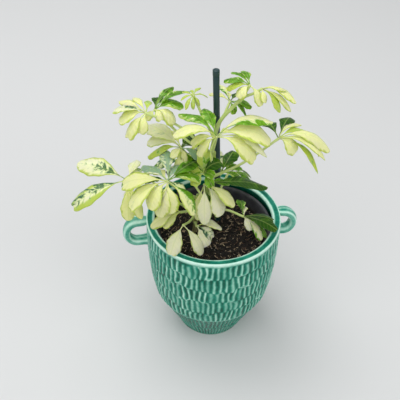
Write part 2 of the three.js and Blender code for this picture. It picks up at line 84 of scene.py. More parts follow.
def node(tree, kind, inputs=None, **settings):
    """Adds a node and sets its properties. An input takes a value, a socket, or a node's first output."""
    made = tree.nodes.new(kind)
    for name, value in settings.items():
        setattr(made, name, value)
    for key, value in (inputs or {}).items():
        source = value.outputs[0] if isinstance(value, bpy.types.Node) else value
        if isinstance(source, bpy.types.NodeSocket):
            tree.links.new(source, made.inputs[key])
        else:
            made.inputs[key].default_value = source
    return made


def new_material(name):
    """An empty material and its node tree."""
    material = bpy.data.materials.new(name)
    material.use_nodes = True
    material.node_tree.nodes.clear()
    return material, material.node_tree


def end_material(tree, inputs):
    """Ends a material with one principled shader."""
    shader = node(tree, "ShaderNodeBsdfPrincipled", inputs)
    node(tree, "ShaderNodeOutputMaterial", {"Surface": shader})


for name, (place, size, watts) in LAMPS.items():
    lamp_data = bpy.data.lights.new(name, "AREA")
    lamp_data.shape = "DISK"
    lamp_data.size = size
    lamp_data.energy = watts
    lamp = bpy.data.objects.new(name, lamp_data)
    lamp.location = place
    lamp.rotation_mode = "QUATERNION"
    lamp.rotation_quaternion = (Vector(place) - LAMP_AIM).to_track_quat("Z", "Y")
    bpy.context.collection.objects.link(lamp)

world = bpy.data.worlds.new("studio")
world.use_nodes = True
world.node_tree.nodes["Background"].inputs["Color"].default_value = linear("#f4f5f6")
world.node_tree.nodes["Background"].inputs["Strength"].default_value = SURROUNDINGS
bpy.context.scene.world = world

floor_mesh = bpy.data.meshes.new("floor")
half_floor = FLOOR_SIZE / 2
floor_corners = [(-half_floor, -half_floor, 0), (half_floor, -half_floor, 0),
                 (half_floor, half_floor, 0), (-half_floor, half_floor, 0)]
floor_mesh.from_pydata(floor_corners, [], [(0, 1, 2, 3)])
floor = bpy.data.objects.new("floor", floor_mesh)
bpy.context.collection.objects.link(floor)
floor_material, tree = new_material("pale_paper_floor")
# Matt pale paper: an even ground that takes a soft shadow
end_material(tree, {"Base Color": linear("#d2d3d3"), "Roughness": 0.9})
floor_mesh.materials.append(floor_material)


# Cachepot. One thrown piece of stoneware with a flat-topped rim, hand-carved upright flutes in rows
# with a wavy break between them, and a narrow stepped foot, dipped in a green glaze that breaks
# pale where it runs thin over the ridges and edges. The foot's underside is wiped bare.
POT_HEIGHT = 0.165
RIM_RADIUS = 0.075
RIM_INNER = 0.0655
RIM_BEAD = 0.0013
RIM_ROUNDING = 0.0034
FOOT_RADIUS = 0.0365
FOOT_EDGE = 0.0016
WAIST_RADIUS = 0.0625
WAIST_HEIGHT = 0.057
BOWL_BOTTOM = 0.0595
COLLAR_BOTTOM = 0.160
CURVE_TOP = 0.158
CURVE_TOP_RADIUS = 0.0742
CURVE_BOTTOM = 0.041
CURVE_BOTTOM_RADIUS = 0.054
CURVE_ROUNDNESS = 2.2
POT_WALL = 0.0055
LEDGE_HEIGHT = 0.040
WELL_FLOOR = 0.010
POT_COLUMNS = 608
FLUTE_ROW_STEP = 0.0015
BOWL_FLUTES = 72
BOWL_ROWS = 5
CONE_FLUTES = 72
CONE_ROWS = 2
RIDGE_HEIGHT = 0.0014
BORDER_WAVE = 0.0022


def cone_radius(height):
    """Outside radius of the smooth foot."""
    return FOOT_RADIUS + (WAIST_RADIUS - FOOT_RADIUS) * height / WAIST_HEIGHT


def bowl_radius(height):
    """Outside radius of the smooth bowl, a rounded quarter that turns in towards the waist."""
    share = max(0, (CURVE_TOP - height) / (CURVE_TOP - CURVE_BOTTOM))
    drop = 1 - math.sqrt(max(0, 1 - share ** CURVE_ROUNDNESS))
    return CURVE_TOP_RADIUS - (CURVE_TOP_RADIUS - CURVE_BOTTOM_RADIUS) * drop


def arc(centre, radius, start, end, steps):
    """Points (radius, height) along an arc, from start to end degrees."""
    turns = np.radians(np.linspace(start, end, steps))
    return [(centre[0] + radius * math.cos(t), centre[1] + radius * math.sin(t)) for t in turns]


def lathe(name, profile, columns, thin=None):
    """A closed mesh turned round Z from (radius, height) points. thin says where a glaze runs thin."""
    angles = np.arange(columns) * 2 * math.pi / columns
    points = []
    faces = []
    rings = []
    for radius, height in profile:
        start = len(points)
        if radius == 0:
            points.append((0, 0, height))
            rings.append([start] * columns)
        else:
            points += [(radius * math.cos(a), radius * math.sin(a), height) for a in angles]
            rings.append(list(range(start, start + columns)))
    for lower, upper in zip(rings, rings[1:]):
        for j in range(columns):
            k = (j + 1) % columns
            corners = [lower[j], lower[k], upper[k], upper[j]]
            faces.append(list(dict.fromkeys(corners)))
    mesh = bpy.data.meshes.new(name)
    mesh.from_pydata(points, [], faces)
    mesh.shade_smooth()
    if thin is not None:
        values = []
        for (radius, _), amount in zip(profile, thin):
            values += [amount] * (1 if radius == 0 else columns)
        mesh.attributes.new("crest", "FLOAT", "POINT").data.foreach_set("value", values)
    return mesh


def grow(name, start, trees):
    """Runs Geometry Nodes trees with their sizes on a start mesh, and keeps the result as a plain mesh."""
    piece = bpy.data.objects.new(name, start)
    bpy.context.collection.objects.link(piece)
    for tree, sizes in trees:
        modifier = piece.modifiers.new(tree.name, "NODES")
        modifier.node_group = tree
        for socket in tree.interface.items_tree:
            if socket.name in sizes:
                modifier[socket.identifier] = sizes[socket.name]
    graph = bpy.context.evaluated_depsgraph_get()
    grown = bpy.data.meshes.new_from_object(piece.evaluated_get(graph), preserve_all_data_layers=True,
                                            depsgraph=graph)
    piece.modifiers.clear()
    piece.data = grown
    grown.name = name
    return piece


def new_tree(name, sockets):
    """A Geometry Nodes tree with a Geometry input and output, and the sockets of its named inputs."""
    tree = bpy.data.node_groups.new(name, "GeometryNodeTree")
    tree.interface.new_socket("Geometry", in_out="OUTPUT", socket_type="NodeSocketGeometry")
    tree.interface.new_socket("Geometry", in_out="INPUT", socket_type="NodeSocketGeometry")
    for socket, kind in sockets.items():
        tree.interface.new_socket(socket, in_out="INPUT", socket_type="NodeSocket" + kind)
    return tree, tree.nodes.new("NodeGroupInput").outputs


def end_tree(tree, geometry, material):
    """Ends a tree: instances made real, and the material set."""
    real = node(tree, "GeometryNodeRealizeInstances", {"Geometry": geometry})
    finished = node(tree, "GeometryNodeSetMaterial", {"Geometry": real, "Material": material})
    node(tree, "NodeGroupOutput", {0: finished})


def bell(tree, distance, width):
    """A smooth hump: 1 at no distance, and next to nothing from two widths on."""
    ratio = node(tree, "ShaderNodeMath", {0: distance, 1: width}, operation="DIVIDE")
    square = node(tree, "ShaderNodeMath", {0: ratio, 1: ratio}, operation="MULTIPLY")
    negative = node(tree, "ShaderNodeMath", {0: square, 1: -1.0}, operation="MULTIPLY")
    return node(tree, "ShaderNodeMath", {0: negative}, operation="EXPONENT")


# Profile of the body from the middle of the foot, up the outside, over the rim and down inside
outer = [(0, 0), (0.018, 0), (FOOT_RADIUS, 0)] + arc((FOOT_RADIUS, FOOT_EDGE), FOOT_EDGE, -90, 0, 4)[1:]
thin = [0, 0, 0, 0.2, 0.5, 0.7]
cone_heights = np.arange(FOOT_EDGE + 0.001, WAIST_HEIGHT, FLUTE_ROW_STEP)
outer += [(cone_radius(h) + FOOT_EDGE * max(0, 1 - h / 0.006), h) for h in cone_heights]
thin += [0] * len(cone_heights)
outer += [(WAIST_RADIUS, WAIST_HEIGHT + 0.0008), (WAIST_RADIUS + 0.0009, WAIST_HEIGHT + 0.0014)]
outer += [(bowl_radius(BOWL_BOTTOM) - 0.0009, BOWL_BOTTOM - 0.0009),
          (bowl_radius(BOWL_BOTTOM) - 0.0001, BOWL_BOTTOM)]
thin += [0, 0, 0.2, 0.6]
bowl_heights = np.arange(BOWL_BOTTOM + 0.001, COLLAR_BOTTOM - 0.0008, FLUTE_ROW_STEP)
outer += [(bowl_radius(h), h) for h in bowl_heights]
thin += [0.4] + [0] * (len(bowl_heights) - 1)
outer += [(0.07435, COLLAR_BOTTOM), (0.0747, COLLAR_BOTTOM + 0.0009), (RIM_RADIUS, COLLAR_BOTTOM + 0.0019),
          (RIM_RADIUS, COLLAR_BOTTOM + 0.0031)]
thin += [0.42, 0.62, 0.76, 0.9]
outer += arc((RIM_RADIUS - RIM_BEAD, POT_HEIGHT - RIM_BEAD), RIM_BEAD, 15, 95, 5)
thin += [1, 1, 1, 0.9, 0.45]
outer += [(0.0730, POT_HEIGHT - 0.0002), (0.0720, POT_HEIGHT - 0.0005), (0.0709, POT_HEIGHT - 0.0005)]
thin += [0.16, 0.1, 0.1]
outer += arc((RIM_INNER + RIM_ROUNDING, POT_HEIGHT - RIM_ROUNDING - 0.0005), RIM_ROUNDING, 85, 190, 8)
thin += [0.14, 0.6, 1, 1, 1, 0.85, 0.4, 0.1]
inner_heights = [0.157, 0.154, 0.146, 0.130, 0.110, 0.088]
outer += [(min(RIM_INNER + 0.0004 + (0.159 - h) * 0.2, bowl_radius(h) - POT_WALL), h)
          for h in inner_heights]
outer += [(bowl_radius(0.066) - POT_WALL, 0.066), (cone_radius(0.047) - POT_WALL, 0.047)]
outer += [(0.0485, LEDGE_HEIGHT + 0.0012), (0.0465, LEDGE_HEIGHT), (0.0395, LEDGE_HEIGHT),
          (0.038, LEDGE_HEIGHT - 0.0012)]
thin += [0] * (len(inner_heights) + 4) + [0.4, 0.5]
outer += [(0.035, 0.024), (0.032, WELL_FLOOR + 0.0015), (0.0305, WELL_FLOOR), (0, WELL_FLOOR)]
thin += [0, 0, 0, 0]

# Carves one zone of rows. Each flute is a hollow between two ridges, a row steps back under the
# row above it, and here and there an arch closes a flute at its top or its bottom.
flute_tree, size = new_tree("carved_flutes", {
    "Flutes Round": "Float", "Zone Bottom": "Float", "Row Height": "Float", "Rows": "Float",
    "Ridge Height": "Float", "Ridge Width": "Float", "Step": "Float", "Bend": "Float", "Seed": "Float",
    "Paleness": "Float", "Material": "Material"})
t = flute_tree
place = node(t, "GeometryNodeInputPosition")
x, y, z = node(t, "ShaderNodeSeparateXYZ", {0: place}).outputs
angle = node(t, "ShaderNodeMath", {0: y, 1: x}, operation="ARCTAN2")
turn_share = node(t, "ShaderNodeMath", {0: angle, 1: 2 * math.pi}, operation="DIVIDE")
# The break between two rows rises and falls in a slow wave with a quick one on it
quick_wave = node(t, "ShaderNodeTexNoise", {"Vector": place, "Scale": 120.0, "Detail": 0.0})
border_wave = node(t, "ShaderNodeMath", {0: quick_wave, 1: 0.45, 2: -0.225}, operation="MULTIPLY_ADD")
height_in_zone = node(t, "ShaderNodeMath", {0: z, 1: size["Zone Bottom"]}, operation="SUBTRACT")
row_place = node(t, "ShaderNodeMath", {0: height_in_zone, 1: size["Row Height"]}, operation="DIVIDE")
row_turn = node(t, "ShaderNodeMath", {0: row_place, 1: 2.0}, operation="MULTIPLY")
wave_turn = node(t, "ShaderNodeMath", {0: angle, 1: 5.0, 2: row_turn}, operation="MULTIPLY_ADD")
slow_wave = node(t, "ShaderNodeMath", {0: wave_turn}, operation="SINE")
wave_share = node(t, "ShaderNodeMath", {0: -BORDER_WAVE, 1: size["Row Height"]}, operation="DIVIDE")
half_waved = node(t, "ShaderNodeMath", {0: slow_wave, 1: wave_share, 2: row_place},
                  operation="MULTIPLY_ADD")
waved_row = node(t, "ShaderNodeMath", {0: half_waved, 1: border_wave}, operation="ADD")
last_row = node(t, "ShaderNodeMath", {0: size["Rows"], 1: 1.0}, operation="SUBTRACT")
row_floor = node(t, "ShaderNodeMath", {0: waved_row}, operation="FLOOR")
row_top = node(t, "ShaderNodeMath", {0: row_floor, 1: last_row}, operation="MINIMUM")
row = node(t, "ShaderNodeMath", {0: row_top, 1: 0.0}, operation="MAXIMUM")
row_share = node(t, "ShaderNodeMath", {0: waved_row, 1: row}, operation="SUBTRACT")
below = node(t, "ShaderNodeMath", {0: row_share, 1: size["Row Height"]}, operation="MULTIPLY")
above = node(t, "ShaderNodeMath", {0: size["Row Height"], 1: below}, operation="SUBTRACT")
# Ridges stand at whole columns, half a column on in each further row, and wander a little
bend_noise = node(t, "ShaderNodeTexNoise", {"Vector": place, "Scale": 48.0, "Detail": 1.0})
bend = node(t, "ShaderNodeMath", {0: bend_noise, 1: 0.5}, operation="SUBTRACT")
bend_columns = node(t, "ShaderNodeMath", {0: bend, 1: size["Bend"]}, operation="MULTIPLY")
row_shift = node(t, "ShaderNodeMath", {0: row, 1: 0.5, 2: bend_columns}, operation="MULTIPLY_ADD")
column_place = node(t, "ShaderNodeMath", {0: turn_share, 1: size["Flutes Round"], 2: row_shift},
                    operation="MULTIPLY_ADD")
ridge_number = node(t, "ShaderNodeMath", {0: column_place}, operation="ROUND")
flute_number = node(t, "ShaderNodeMath", {0: column_place}, operation="FLOOR")
ridge_wrapped = node(t, "ShaderNodeMath", {0: ridge_number, 1: size["Flutes Round"]},
                     operation="FLOORED_MODULO")
flute_wrapped = node(t, "ShaderNodeMath", {0: flute_number, 1: size["Flutes Round"]},
                     operation="FLOORED_MODULO")
# A ridge's luck sets its width and how pale it is, and a flute's luck whether an arch closes it
ridge_key = node(t, "ShaderNodeCombineXYZ", {0: ridge_wrapped, 1: row, 2: size["Seed"]})
flute_key = node(t, "ShaderNodeCombineXYZ", {0: flute_wrapped, 1: row, 2: size["Seed"]})
ridge_luck = node(t, "ShaderNodeTexWhiteNoise", {"Vector": ridge_key}).outputs["Value"]
flute_luck = node(t, "ShaderNodeTexWhiteNoise", {"Vector": flute_key}).outputs["Value"]
flat_place = node(t, "ShaderNodeVectorMath", {0: place, 1: (1, 1, 0)}, operation="MULTIPLY")
radius = node(t, "ShaderNodeVectorMath", {0: flat_place}, operation="LENGTH").outputs["Value"]
round_length = node(t, "ShaderNodeMath", {0: radius, 1: 2 * math.pi}, operation="MULTIPLY")
pitch = node(t, "ShaderNodeMath", {0: round_length, 1: size["Flutes Round"]}, operation="DIVIDE")
off_ridge = node(t, "ShaderNodeMath", {0: column_place, 1: ridge_number}, operation="SUBTRACT")
off_ridge_size = node(t, "ShaderNodeMath", {0: off_ridge}, operation="ABSOLUTE")
side_gap = node(t, "ShaderNodeMath", {0: off_ridge_size, 1: pitch}, operation="MULTIPLY")
width_factor = node(t, "ShaderNodeMath", {0: ridge_luck, 1: -0.5, 2: 1.25}, operation="MULTIPLY_ADD")
ridge_width = node(t, "ShaderNodeMath", {0: width_factor, 1: size["Ridge Width"]}, operation="MULTIPLY")
ridge_shape = bell(t, side_gap, ridge_width)
border_gap = node(t, "ShaderNodeMath", {0: below, 1: above}, operation="MINIMUM")
fade_end = node(t, "ShaderNodeMath", {0: ridge_luck, 1: 0.0022, 2: 0.0012}, operation="MULTIPLY_ADD")
ridge_fade = node(t, "ShaderNodeMapRange", {"Value": border_gap, "From Min": -0.0014, "From Max": fade_end},
                  interpolation_type="SMOOTHSTEP")
ridge = node(t, "ShaderNodeMath", {0: ridge_shape, 1: ridge_fade.outputs[0]}, operation="MULTIPLY")
flute_share = node(t, "ShaderNodeMath", {0: column_place, 1: flute_number}, operation="SUBTRACT")
flute_side = node(t, "ShaderNodeMath", {0: flute_share, 1: 2.0, 2: -1.0}, operation="MULTIPLY_ADD")
flute_side_square = node(t, "ShaderNodeMath", {0: flute_side, 1: flute_side}, operation="MULTIPLY")
arch_place = node(t, "ShaderNodeMath", {0: flute_side_square, 1: 0.0030, 2: 0.0006},
                  operation="MULTIPLY_ADD")
arches = []
for gap, low, high in ((above, 0.0, 0.16), (below, 0.80, 1.0)):
    off_arch = node(t, "ShaderNodeMath", {0: gap, 1: arch_place}, operation="SUBTRACT")
    arch_shape = bell(t, off_arch, ridge_width)
    over_low = node(t, "ShaderNodeMath", {0: flute_luck, 1: low}, operation="GREATER_THAN")
    under_high = node(t, "ShaderNodeMath", {0: flute_luck, 1: high}, operation="LESS_THAN")
    chosen = node(t, "ShaderNodeMath", {0: over_low, 1: under_high}, operation="MULTIPLY")
    arches.append(node(t, "ShaderNodeMath", {0: arch_shape, 1: chosen}, operation="MULTIPLY"))
either_arch = node(t, "ShaderNodeMath", {0: arches[0], 1: arches[1]}, operation="MAXIMUM")
raised = node(t, "ShaderNodeMath", {0: ridge, 1: either_arch}, operation="MAXIMUM")
# Only the outside is carved, and the relief runs out at both ends of the zone
zone_height = node(t, "ShaderNodeMath", {0: size["Rows"], 1: size["Row Height"]}, operation="MULTIPLY")
room_above = node(t, "ShaderNodeMath", {0: zone_height, 1: height_in_zone}, operation="SUBTRACT")
room = node(t, "ShaderNodeMath", {0: room_above, 1: height_in_zone}, operation="MINIMUM")
zone_fade = node(t, "ShaderNodeMapRange", {"Value": room, "From Min": 0.0002, "From Max": 0.0020},
                 interpolation_type="SMOOTHSTEP")
normal = node(t, "GeometryNodeInputNormal")
away = node(t, "ShaderNodeVectorMath", {0: normal, 1: flat_place}, operation="DOT_PRODUCT").outputs["Value"]
is_outside = node(t, "ShaderNodeMath", {0: away, 1: 0.0}, operation="GREATER_THAN")
zone_outside = node(t, "ShaderNodeMath", {0: zone_fade.outputs[0], 1: is_outside}, operation="MULTIPLY")
relief = node(t, "ShaderNodeMath", {0: raised, 1: zone_outside}, operation="MULTIPLY")
carved = node(t, "ShaderNodeMath", {0: zone_outside, 1: -0.35, 2: relief}, operation="MULTIPLY_ADD")
push = node(t, "ShaderNodeMath", {0: carved, 1: size["Ridge Height"]}, operation="MULTIPLY")
flare = node(t, "ShaderNodeMath", {0: 0.5, 1: row_share}, operation="SUBTRACT")
flare_outside = node(t, "ShaderNodeMath", {0: flare, 1: zone_outside}, operation="MULTIPLY")
stepped = node(t, "ShaderNodeMath", {0: flare_outside, 1: size["Step"], 2: push}, operation="MULTIPLY_ADD")
direction = node(t, "ShaderNodeVectorMath", {0: flat_place}, operation="NORMALIZE")
offset = node(t, "ShaderNodeVectorMath", {0: direction, "Scale": stepped}, operation="SCALE")
old_crest = node(t, "GeometryNodeInputNamedAttribute", {"Name": "crest"}, data_type="FLOAT")
ridge_pale = node(t, "ShaderNodeMath", {0: ridge_luck, 1: 0.42, 2: 0.44}, operation="MULTIPLY_ADD")
paleness = node(t, "ShaderNodeMath", {0: ridge_pale, 1: size["Paleness"]}, operation="MULTIPLY")
pale_relief = node(t, "ShaderNodeMath", {0: relief, 1: paleness}, operation="MULTIPLY")
crest = node(t, "ShaderNodeMath", {0: pale_relief, 1: old_crest}, operation="MAXIMUM")
stored = node(t, "GeometryNodeStoreNamedAttribute",
              {"Geometry": size["Geometry"], "Name": "crest", "Value": crest}, data_type="FLOAT",
              domain="POINT")
moved = node(t, "GeometryNodeSetPosition", {"Geometry": stored, "Offset": offset})
end_tree(t, moved, size["Material"])

glaze, tree = new_material("green_glaze_breaking_pale")
# A copper-green dipping glaze fired glossy: dark where it pools, milky pale on ridges and edges
GLAZE_POOL = "#045c48"
GLAZE_MID = "#259078"
GLAZE_THIN = "#9ed9c3"
GLAZE_EDGE = "#d3f4e6"
BARE_CLAY = "#c9b79c"
spot = node(tree, "ShaderNodeTexCoord").outputs["Object"]
thinness = node(tree, "ShaderNodeAttribute", attribute_name="crest").outputs["Fac"]
cloud = node(tree, "ShaderNodeTexNoise", {"Vector": spot, "Scale": 55.0, "Detail": 4.0, "Roughness": 0.6})
streaks = node(tree, "ShaderNodeTexNoise", {"Vector": spot, "Scale": 260.0, "Detail": 3.0})
cloud_shift = node(tree, "ShaderNodeMapRange", {"Value": cloud, "From Min": 0.3, "From Max": 0.7,
                                                "To Min": -0.10, "To Max": 0.16})
streak_shift = node(tree, "ShaderNodeMapRange", {"Value": streaks, "From Min": 0.3, "From Max": 0.7,
                                                 "To Min": -0.07, "To Max": 0.07})
shifts = node(tree, "ShaderNodeMath", {0: cloud_shift, 1: streak_shift}, operation="ADD")
tone = node(tree, "ShaderNodeMath", {0: thinness, 1: shifts}, operation="ADD")
ramp = node(tree, "ShaderNodeValToRGB", {"Fac": tone})
ramp.color_ramp.elements[0].color = linear(GLAZE_POOL)
ramp.color_ramp.elements[1].color = linear(GLAZE_EDGE)
for position, code in ((0.28, GLAZE_MID), (0.75, GLAZE_THIN)):
    ramp.color_ramp.elements.new(position).color = linear(code)
height = node(tree, "ShaderNodeSeparateXYZ", {0: spot}).outputs["Z"]
is_bare = node(tree, "ShaderNodeMath", {0: height, 1: 0.0003}, operation="LESS_THAN")
coloured = node(tree, "ShaderNodeMix", {0: is_bare, 6: ramp, 7: linear(BARE_CLAY)},
                data_type="RGBA").outputs[2]
gloss = node(tree, "ShaderNodeMapRange", {"Value": streaks, "To Min": 0.12, "To Max": 0.24})
rough = node(tree, "ShaderNodeMix", {0: is_bare, 2: gloss.outputs[0], 3: 0.85}).outputs[0]
ripple = node(tree, "ShaderNodeTexNoise", {"Vector": spot, "Scale": 180.0, "Detail": 2.0})
bump = node(tree, "ShaderNodeBump", {"Height": ripple, "Strength": 0.12, "Distance": 0.0006})
end_material(tree, {
    "Base Color": coloured, "Roughness": rough, "Normal": bump, "IOR": 1.5, "Specular IOR Level": 0.15,
    "Coat Weight": 0.07, "Coat Roughness": 0.05})

bowl_row = (COLLAR_BOTTOM + 0.0004 - BOWL_BOTTOM) / BOWL_ROWS
cone_row = (WAIST_HEIGHT - FOOT_EDGE) / CONE_ROWS
body = grow("cachepot_body", lathe("cachepot_body", outer, POT_COLUMNS, thin), [
    (flute_tree, {"Flutes Round": float(BOWL_FLUTES), "Zone Bottom": BOWL_BOTTOM, "Row Height": bowl_row,
                  "Rows": float(BOWL_ROWS), "Ridge Height": RIDGE_HEIGHT, "Ridge Width": 0.00165,
                  "Step": 0.0005, "Bend": 1.1, "Seed": 3.0, "Paleness": 1.0, "Material": glaze}),
    # The foot's ridges get about half the bowl's paleness, a painted shade for the shadow under the bowl's
    # overhang
    (flute_tree, {"Flutes Round": float(CONE_FLUTES), "Zone Bottom": FOOT_EDGE, "Row Height": cone_row,
                  "Rows": float(CONE_ROWS), "Ridge Height": RIDGE_HEIGHT, "Ridge Width": 0.00125,
                  "Step": 0.0007, "Bend": 0.9, "Seed": 8.0, "Paleness": 0.52, "Material": glaze})])
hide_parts("cachepot")
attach(body, "root")


# Handles. Two ear handles of the same clay, each a flat pulled strap with three soft ridges along
# it, bent round and pressed onto the wall under the rim before glazing, the loop sagging a little.
HANDLE_HEIGHT = 0.1474
HANDLE_REACH = 0.012
HANDLE_RISE = 0.0132
HANDLE_DROOP = 0.0012
HANDLE_SINK = 0.071
STRAP_WIDTH = 0.0138
STRAP_THICKNESS = 0.0088
HANDLE_SIDES = 48
# Side, distance of the loop's centre, turn in degrees, and how far the upper branch leans back
HANDLES = {"handle_left": (-1, 0.0855, -3.6, 0.0030), "handle_right": (1, 0.0808, 1.3, 0.0012)}


def line_mesh(name, points, girths):
    """A mesh of edges from point to point, with a girth on each point."""
    mesh = bpy.data.meshes.new(name)
    mesh.from_pydata(points, [(i, i + 1) for i in range(len(points) - 1)], [])
    mesh.attributes.new("girth", "FLOAT", "POINT").data.foreach_set("value", girths)
    return mesh


strap_tree, size = new_tree("handle_strap", {
    "Width": "Float", "Thickness": "Float", "Squareness": "Float", "Ridges": "Float",
    "Ridge Depth": "Float", "Material": "Material"})
t = strap_tree
ring = node(t, "GeometryNodeCurvePrimitiveCircle", {"Resolution": HANDLE_SIDES, "Radius": 1.0},
            mode="RADIUS")
place = node(t, "GeometryNodeInputPosition")
split = node(t, "ShaderNodeSeparateXYZ", {0: place})
soft = []
for part in (split.outputs[0], split.outputs[1]):
    part_size = node(t, "ShaderNodeMath", {0: part}, operation="ABSOLUTE")
    part_sign = node(t, "ShaderNodeMath", {0: part}, operation="SIGN")
    part_power = node(t, "ShaderNodeMath", {0: part_size, 1: size["Squareness"]}, operation="POWER")
    soft.append(node(t, "ShaderNodeMath", {0: part_power, 1: part_sign}, operation="MULTIPLY"))
across = node(t, "ShaderNodeMath", {0: soft[0], 1: size["Ridges"]}, operation="MULTIPLY")
ridge_turn = node(t, "ShaderNodeMath", {0: across, 1: math.pi}, operation="MULTIPLY")
ridge_wave = node(t, "ShaderNodeMath", {0: ridge_turn}, operation="COSINE")
facing = node(t, "ShaderNodeMapRange", {"Value": soft[1], "From Min": 0.3, "From Max": 0.9})
ridge_rise = node(t, "ShaderNodeMath", {0: ridge_wave, 1: facing.outputs[0]}, operation="MULTIPLY")
half_width = node(t, "ShaderNodeMath", {0: soft[0], 1: size["Width"]}, operation="MULTIPLY")
half_thick = node(t, "ShaderNodeMath", {0: soft[1], 1: size["Thickness"]}, operation="MULTIPLY")
strap_x = node(t, "ShaderNodeMath", {0: half_width, 1: 0.5}, operation="MULTIPLY")
strap_y = node(t, "ShaderNodeMath", {0: half_thick, 1: 0.5}, operation="MULTIPLY")
ridged_y = node(t, "ShaderNodeMath", {0: ridge_rise, 1: size["Ridge Depth"], 2: strap_y},
                operation="MULTIPLY_ADD")
strap_place = node(t, "ShaderNodeCombineXYZ", {0: strap_x, 1: ridged_y})
corner_product = node(t, "ShaderNodeMath", {0: soft[0], 1: soft[1]}, operation="MULTIPLY")
corner_size = node(t, "ShaderNodeMath", {0: corner_product}, operation="ABSOLUTE")
edge_pale = node(t, "ShaderNodeMapRange", {"Value": corner_size, "From Min": 0.33, "From Max": 0.56,
                                           "To Max": 0.46})
ridge_pale = node(t, "ShaderNodeMath", {0: ridge_rise, 1: 0.26, 2: 0.4}, operation="MULTIPLY_ADD")
strap_pale = node(t, "ShaderNodeMath", {0: edge_pale.outputs[0], 1: ridge_pale}, operation="ADD")
marked = node(t, "GeometryNodeStoreNamedAttribute",
              {"Geometry": ring, "Name": "crest", "Value": strap_pale}, data_type="FLOAT", domain="POINT")
strap_profile = node(t, "GeometryNodeSetPosition", {"Geometry": marked, "Position": strap_place})
path = node(t, "GeometryNodeMeshToCurve", {"Mesh": size["Geometry"]})
girth = node(t, "GeometryNodeInputNamedAttribute", {"Name": "girth"}, data_type="FLOAT")
upright = node(t, "GeometryNodeSetCurveNormal", {"Curve": path, "Normal": (0, 1, 0)}, mode="FREE")
strap = node(t, "GeometryNodeCurveToMesh", {"Curve": upright, "Profile Curve": strap_profile,
                                            "Scale": girth, "Fill Caps": True})
smooth = node(t, "GeometryNodeSetShadeSmooth", {"Geometry": strap})
end_tree(t, smooth, size["Material"])

for name, (side, centre, degrees, lean) in HANDLES.items():
    turn = math.radians(degrees)
    bends = np.linspace(math.pi / 2, -math.pi / 2, 25)
    line = [(x, HANDLE_RISE) for x in np.linspace(HANDLE_SINK, centre, 8)[:-1]]
    line += [(centre + HANDLE_REACH * math.cos(b), HANDLE_RISE * math.sin(b)) for b in bends]
    line += [(x, -HANDLE_RISE) for x in np.linspace(centre, HANDLE_SINK, 8)[1:]]
    line = [(x, z - HANDLE_DROOP * min(1, max(0, (x - 0.075) / 0.012))) for x, z in line]
    points = [(side * x * math.cos(turn), side * x * math.sin(turn) + lean * max(0, z) / HANDLE_RISE,
               HANDLE_HEIGHT + z) for x, z in line]
    # Thicker where the lower branch meets the wall, thinner where the upper one sinks under the rim
    girths = [1 + (0.2 if z < 0 else -0.3) * min(1, max(0, 1 - (x - 0.0735) / 0.006)) ** 2 for x, z in line]
    handle = grow(name, line_mesh(name, points, girths), [(strap_tree, {
        "Width": STRAP_WIDTH, "Thickness": STRAP_THICKNESS, "Squareness": 0.82, "Ridges": 2.0,
        "Ridge Depth": 0.0004, "Material": glaze})])
    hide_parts("cachepot")
    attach(handle, "root")


# Nursery pot. A thin black polypropylene pot with a rolled lip and drain holes, moulded in one
# piece. It stands on the ledge inside the cachepot, and its rim shows above the soil.
NURSERY_BASE = 0.0403
NURSERY_FLOOR = 0.0417
NURSERY_BASE_RADIUS = 0.0435
NURSERY_TOP_RADIUS = 0.063
NURSERY_TOP = 0.155
NURSERY_WALL = 0.0014
NURSERY_LIP = 0.0022
LIP_HEIGHT = 0.007
LIP_ROUNDING = 0.0009
NURSERY_COLUMNS = 120
DRAIN_HOLES = 6
DRAIN_RADIUS = 0.0045
DRAIN_CIRCLE = 0.028
DRILL_SIDES = 24


def nursery_radius(height):
    """Outside radius of the nursery pot's tapered wall."""
    share = (height - NURSERY_BASE) / (NURSERY_TOP - NURSERY_BASE)
    return NURSERY_BASE_RADIUS + (NURSERY_TOP_RADIUS - NURSERY_BASE_RADIUS) * share


lip_bottom = NURSERY_TOP - LIP_HEIGHT
lip_radius = NURSERY_TOP_RADIUS + NURSERY_LIP
shell = [(0, NURSERY_BASE), (0.03, NURSERY_BASE), (NURSERY_BASE_RADIUS - 0.001, NURSERY_BASE),
         (NURSERY_BASE_RADIUS, NURSERY_BASE + 0.001)]
shell += [(nursery_radius(h), h) for h in (0.06, 0.09, 0.12, lip_bottom - 0.001)]
shell += [(nursery_radius(lip_bottom) + 0.0002, lip_bottom), (lip_radius - 0.0006, lip_bottom),
          (lip_radius, lip_bottom + 0.0006)]
shell += arc((lip_radius - LIP_ROUNDING, NURSERY_TOP - LIP_ROUNDING), LIP_ROUNDING, 0, 90, 5)
shell += [(NURSERY_TOP_RADIUS + 0.0004, NURSERY_TOP), (NURSERY_TOP_RADIUS - 0.0006, NURSERY_TOP - 0.0005)]
shell += [(nursery_radius(h) - NURSERY_WALL, h) for h in (0.1532, 0.15, 0.143, 0.13, 0.10, 0.07, 0.043)]
shell += [(nursery_radius(0.0418) - NURSERY_WALL - 0.001, NURSERY_FLOOR), (0.03, NURSERY_FLOOR),
          (0, NURSERY_FLOOR)]
nursery = bpy.data.objects.new("nursery_shell", lathe("nursery_shell", shell, NURSERY_COLUMNS))
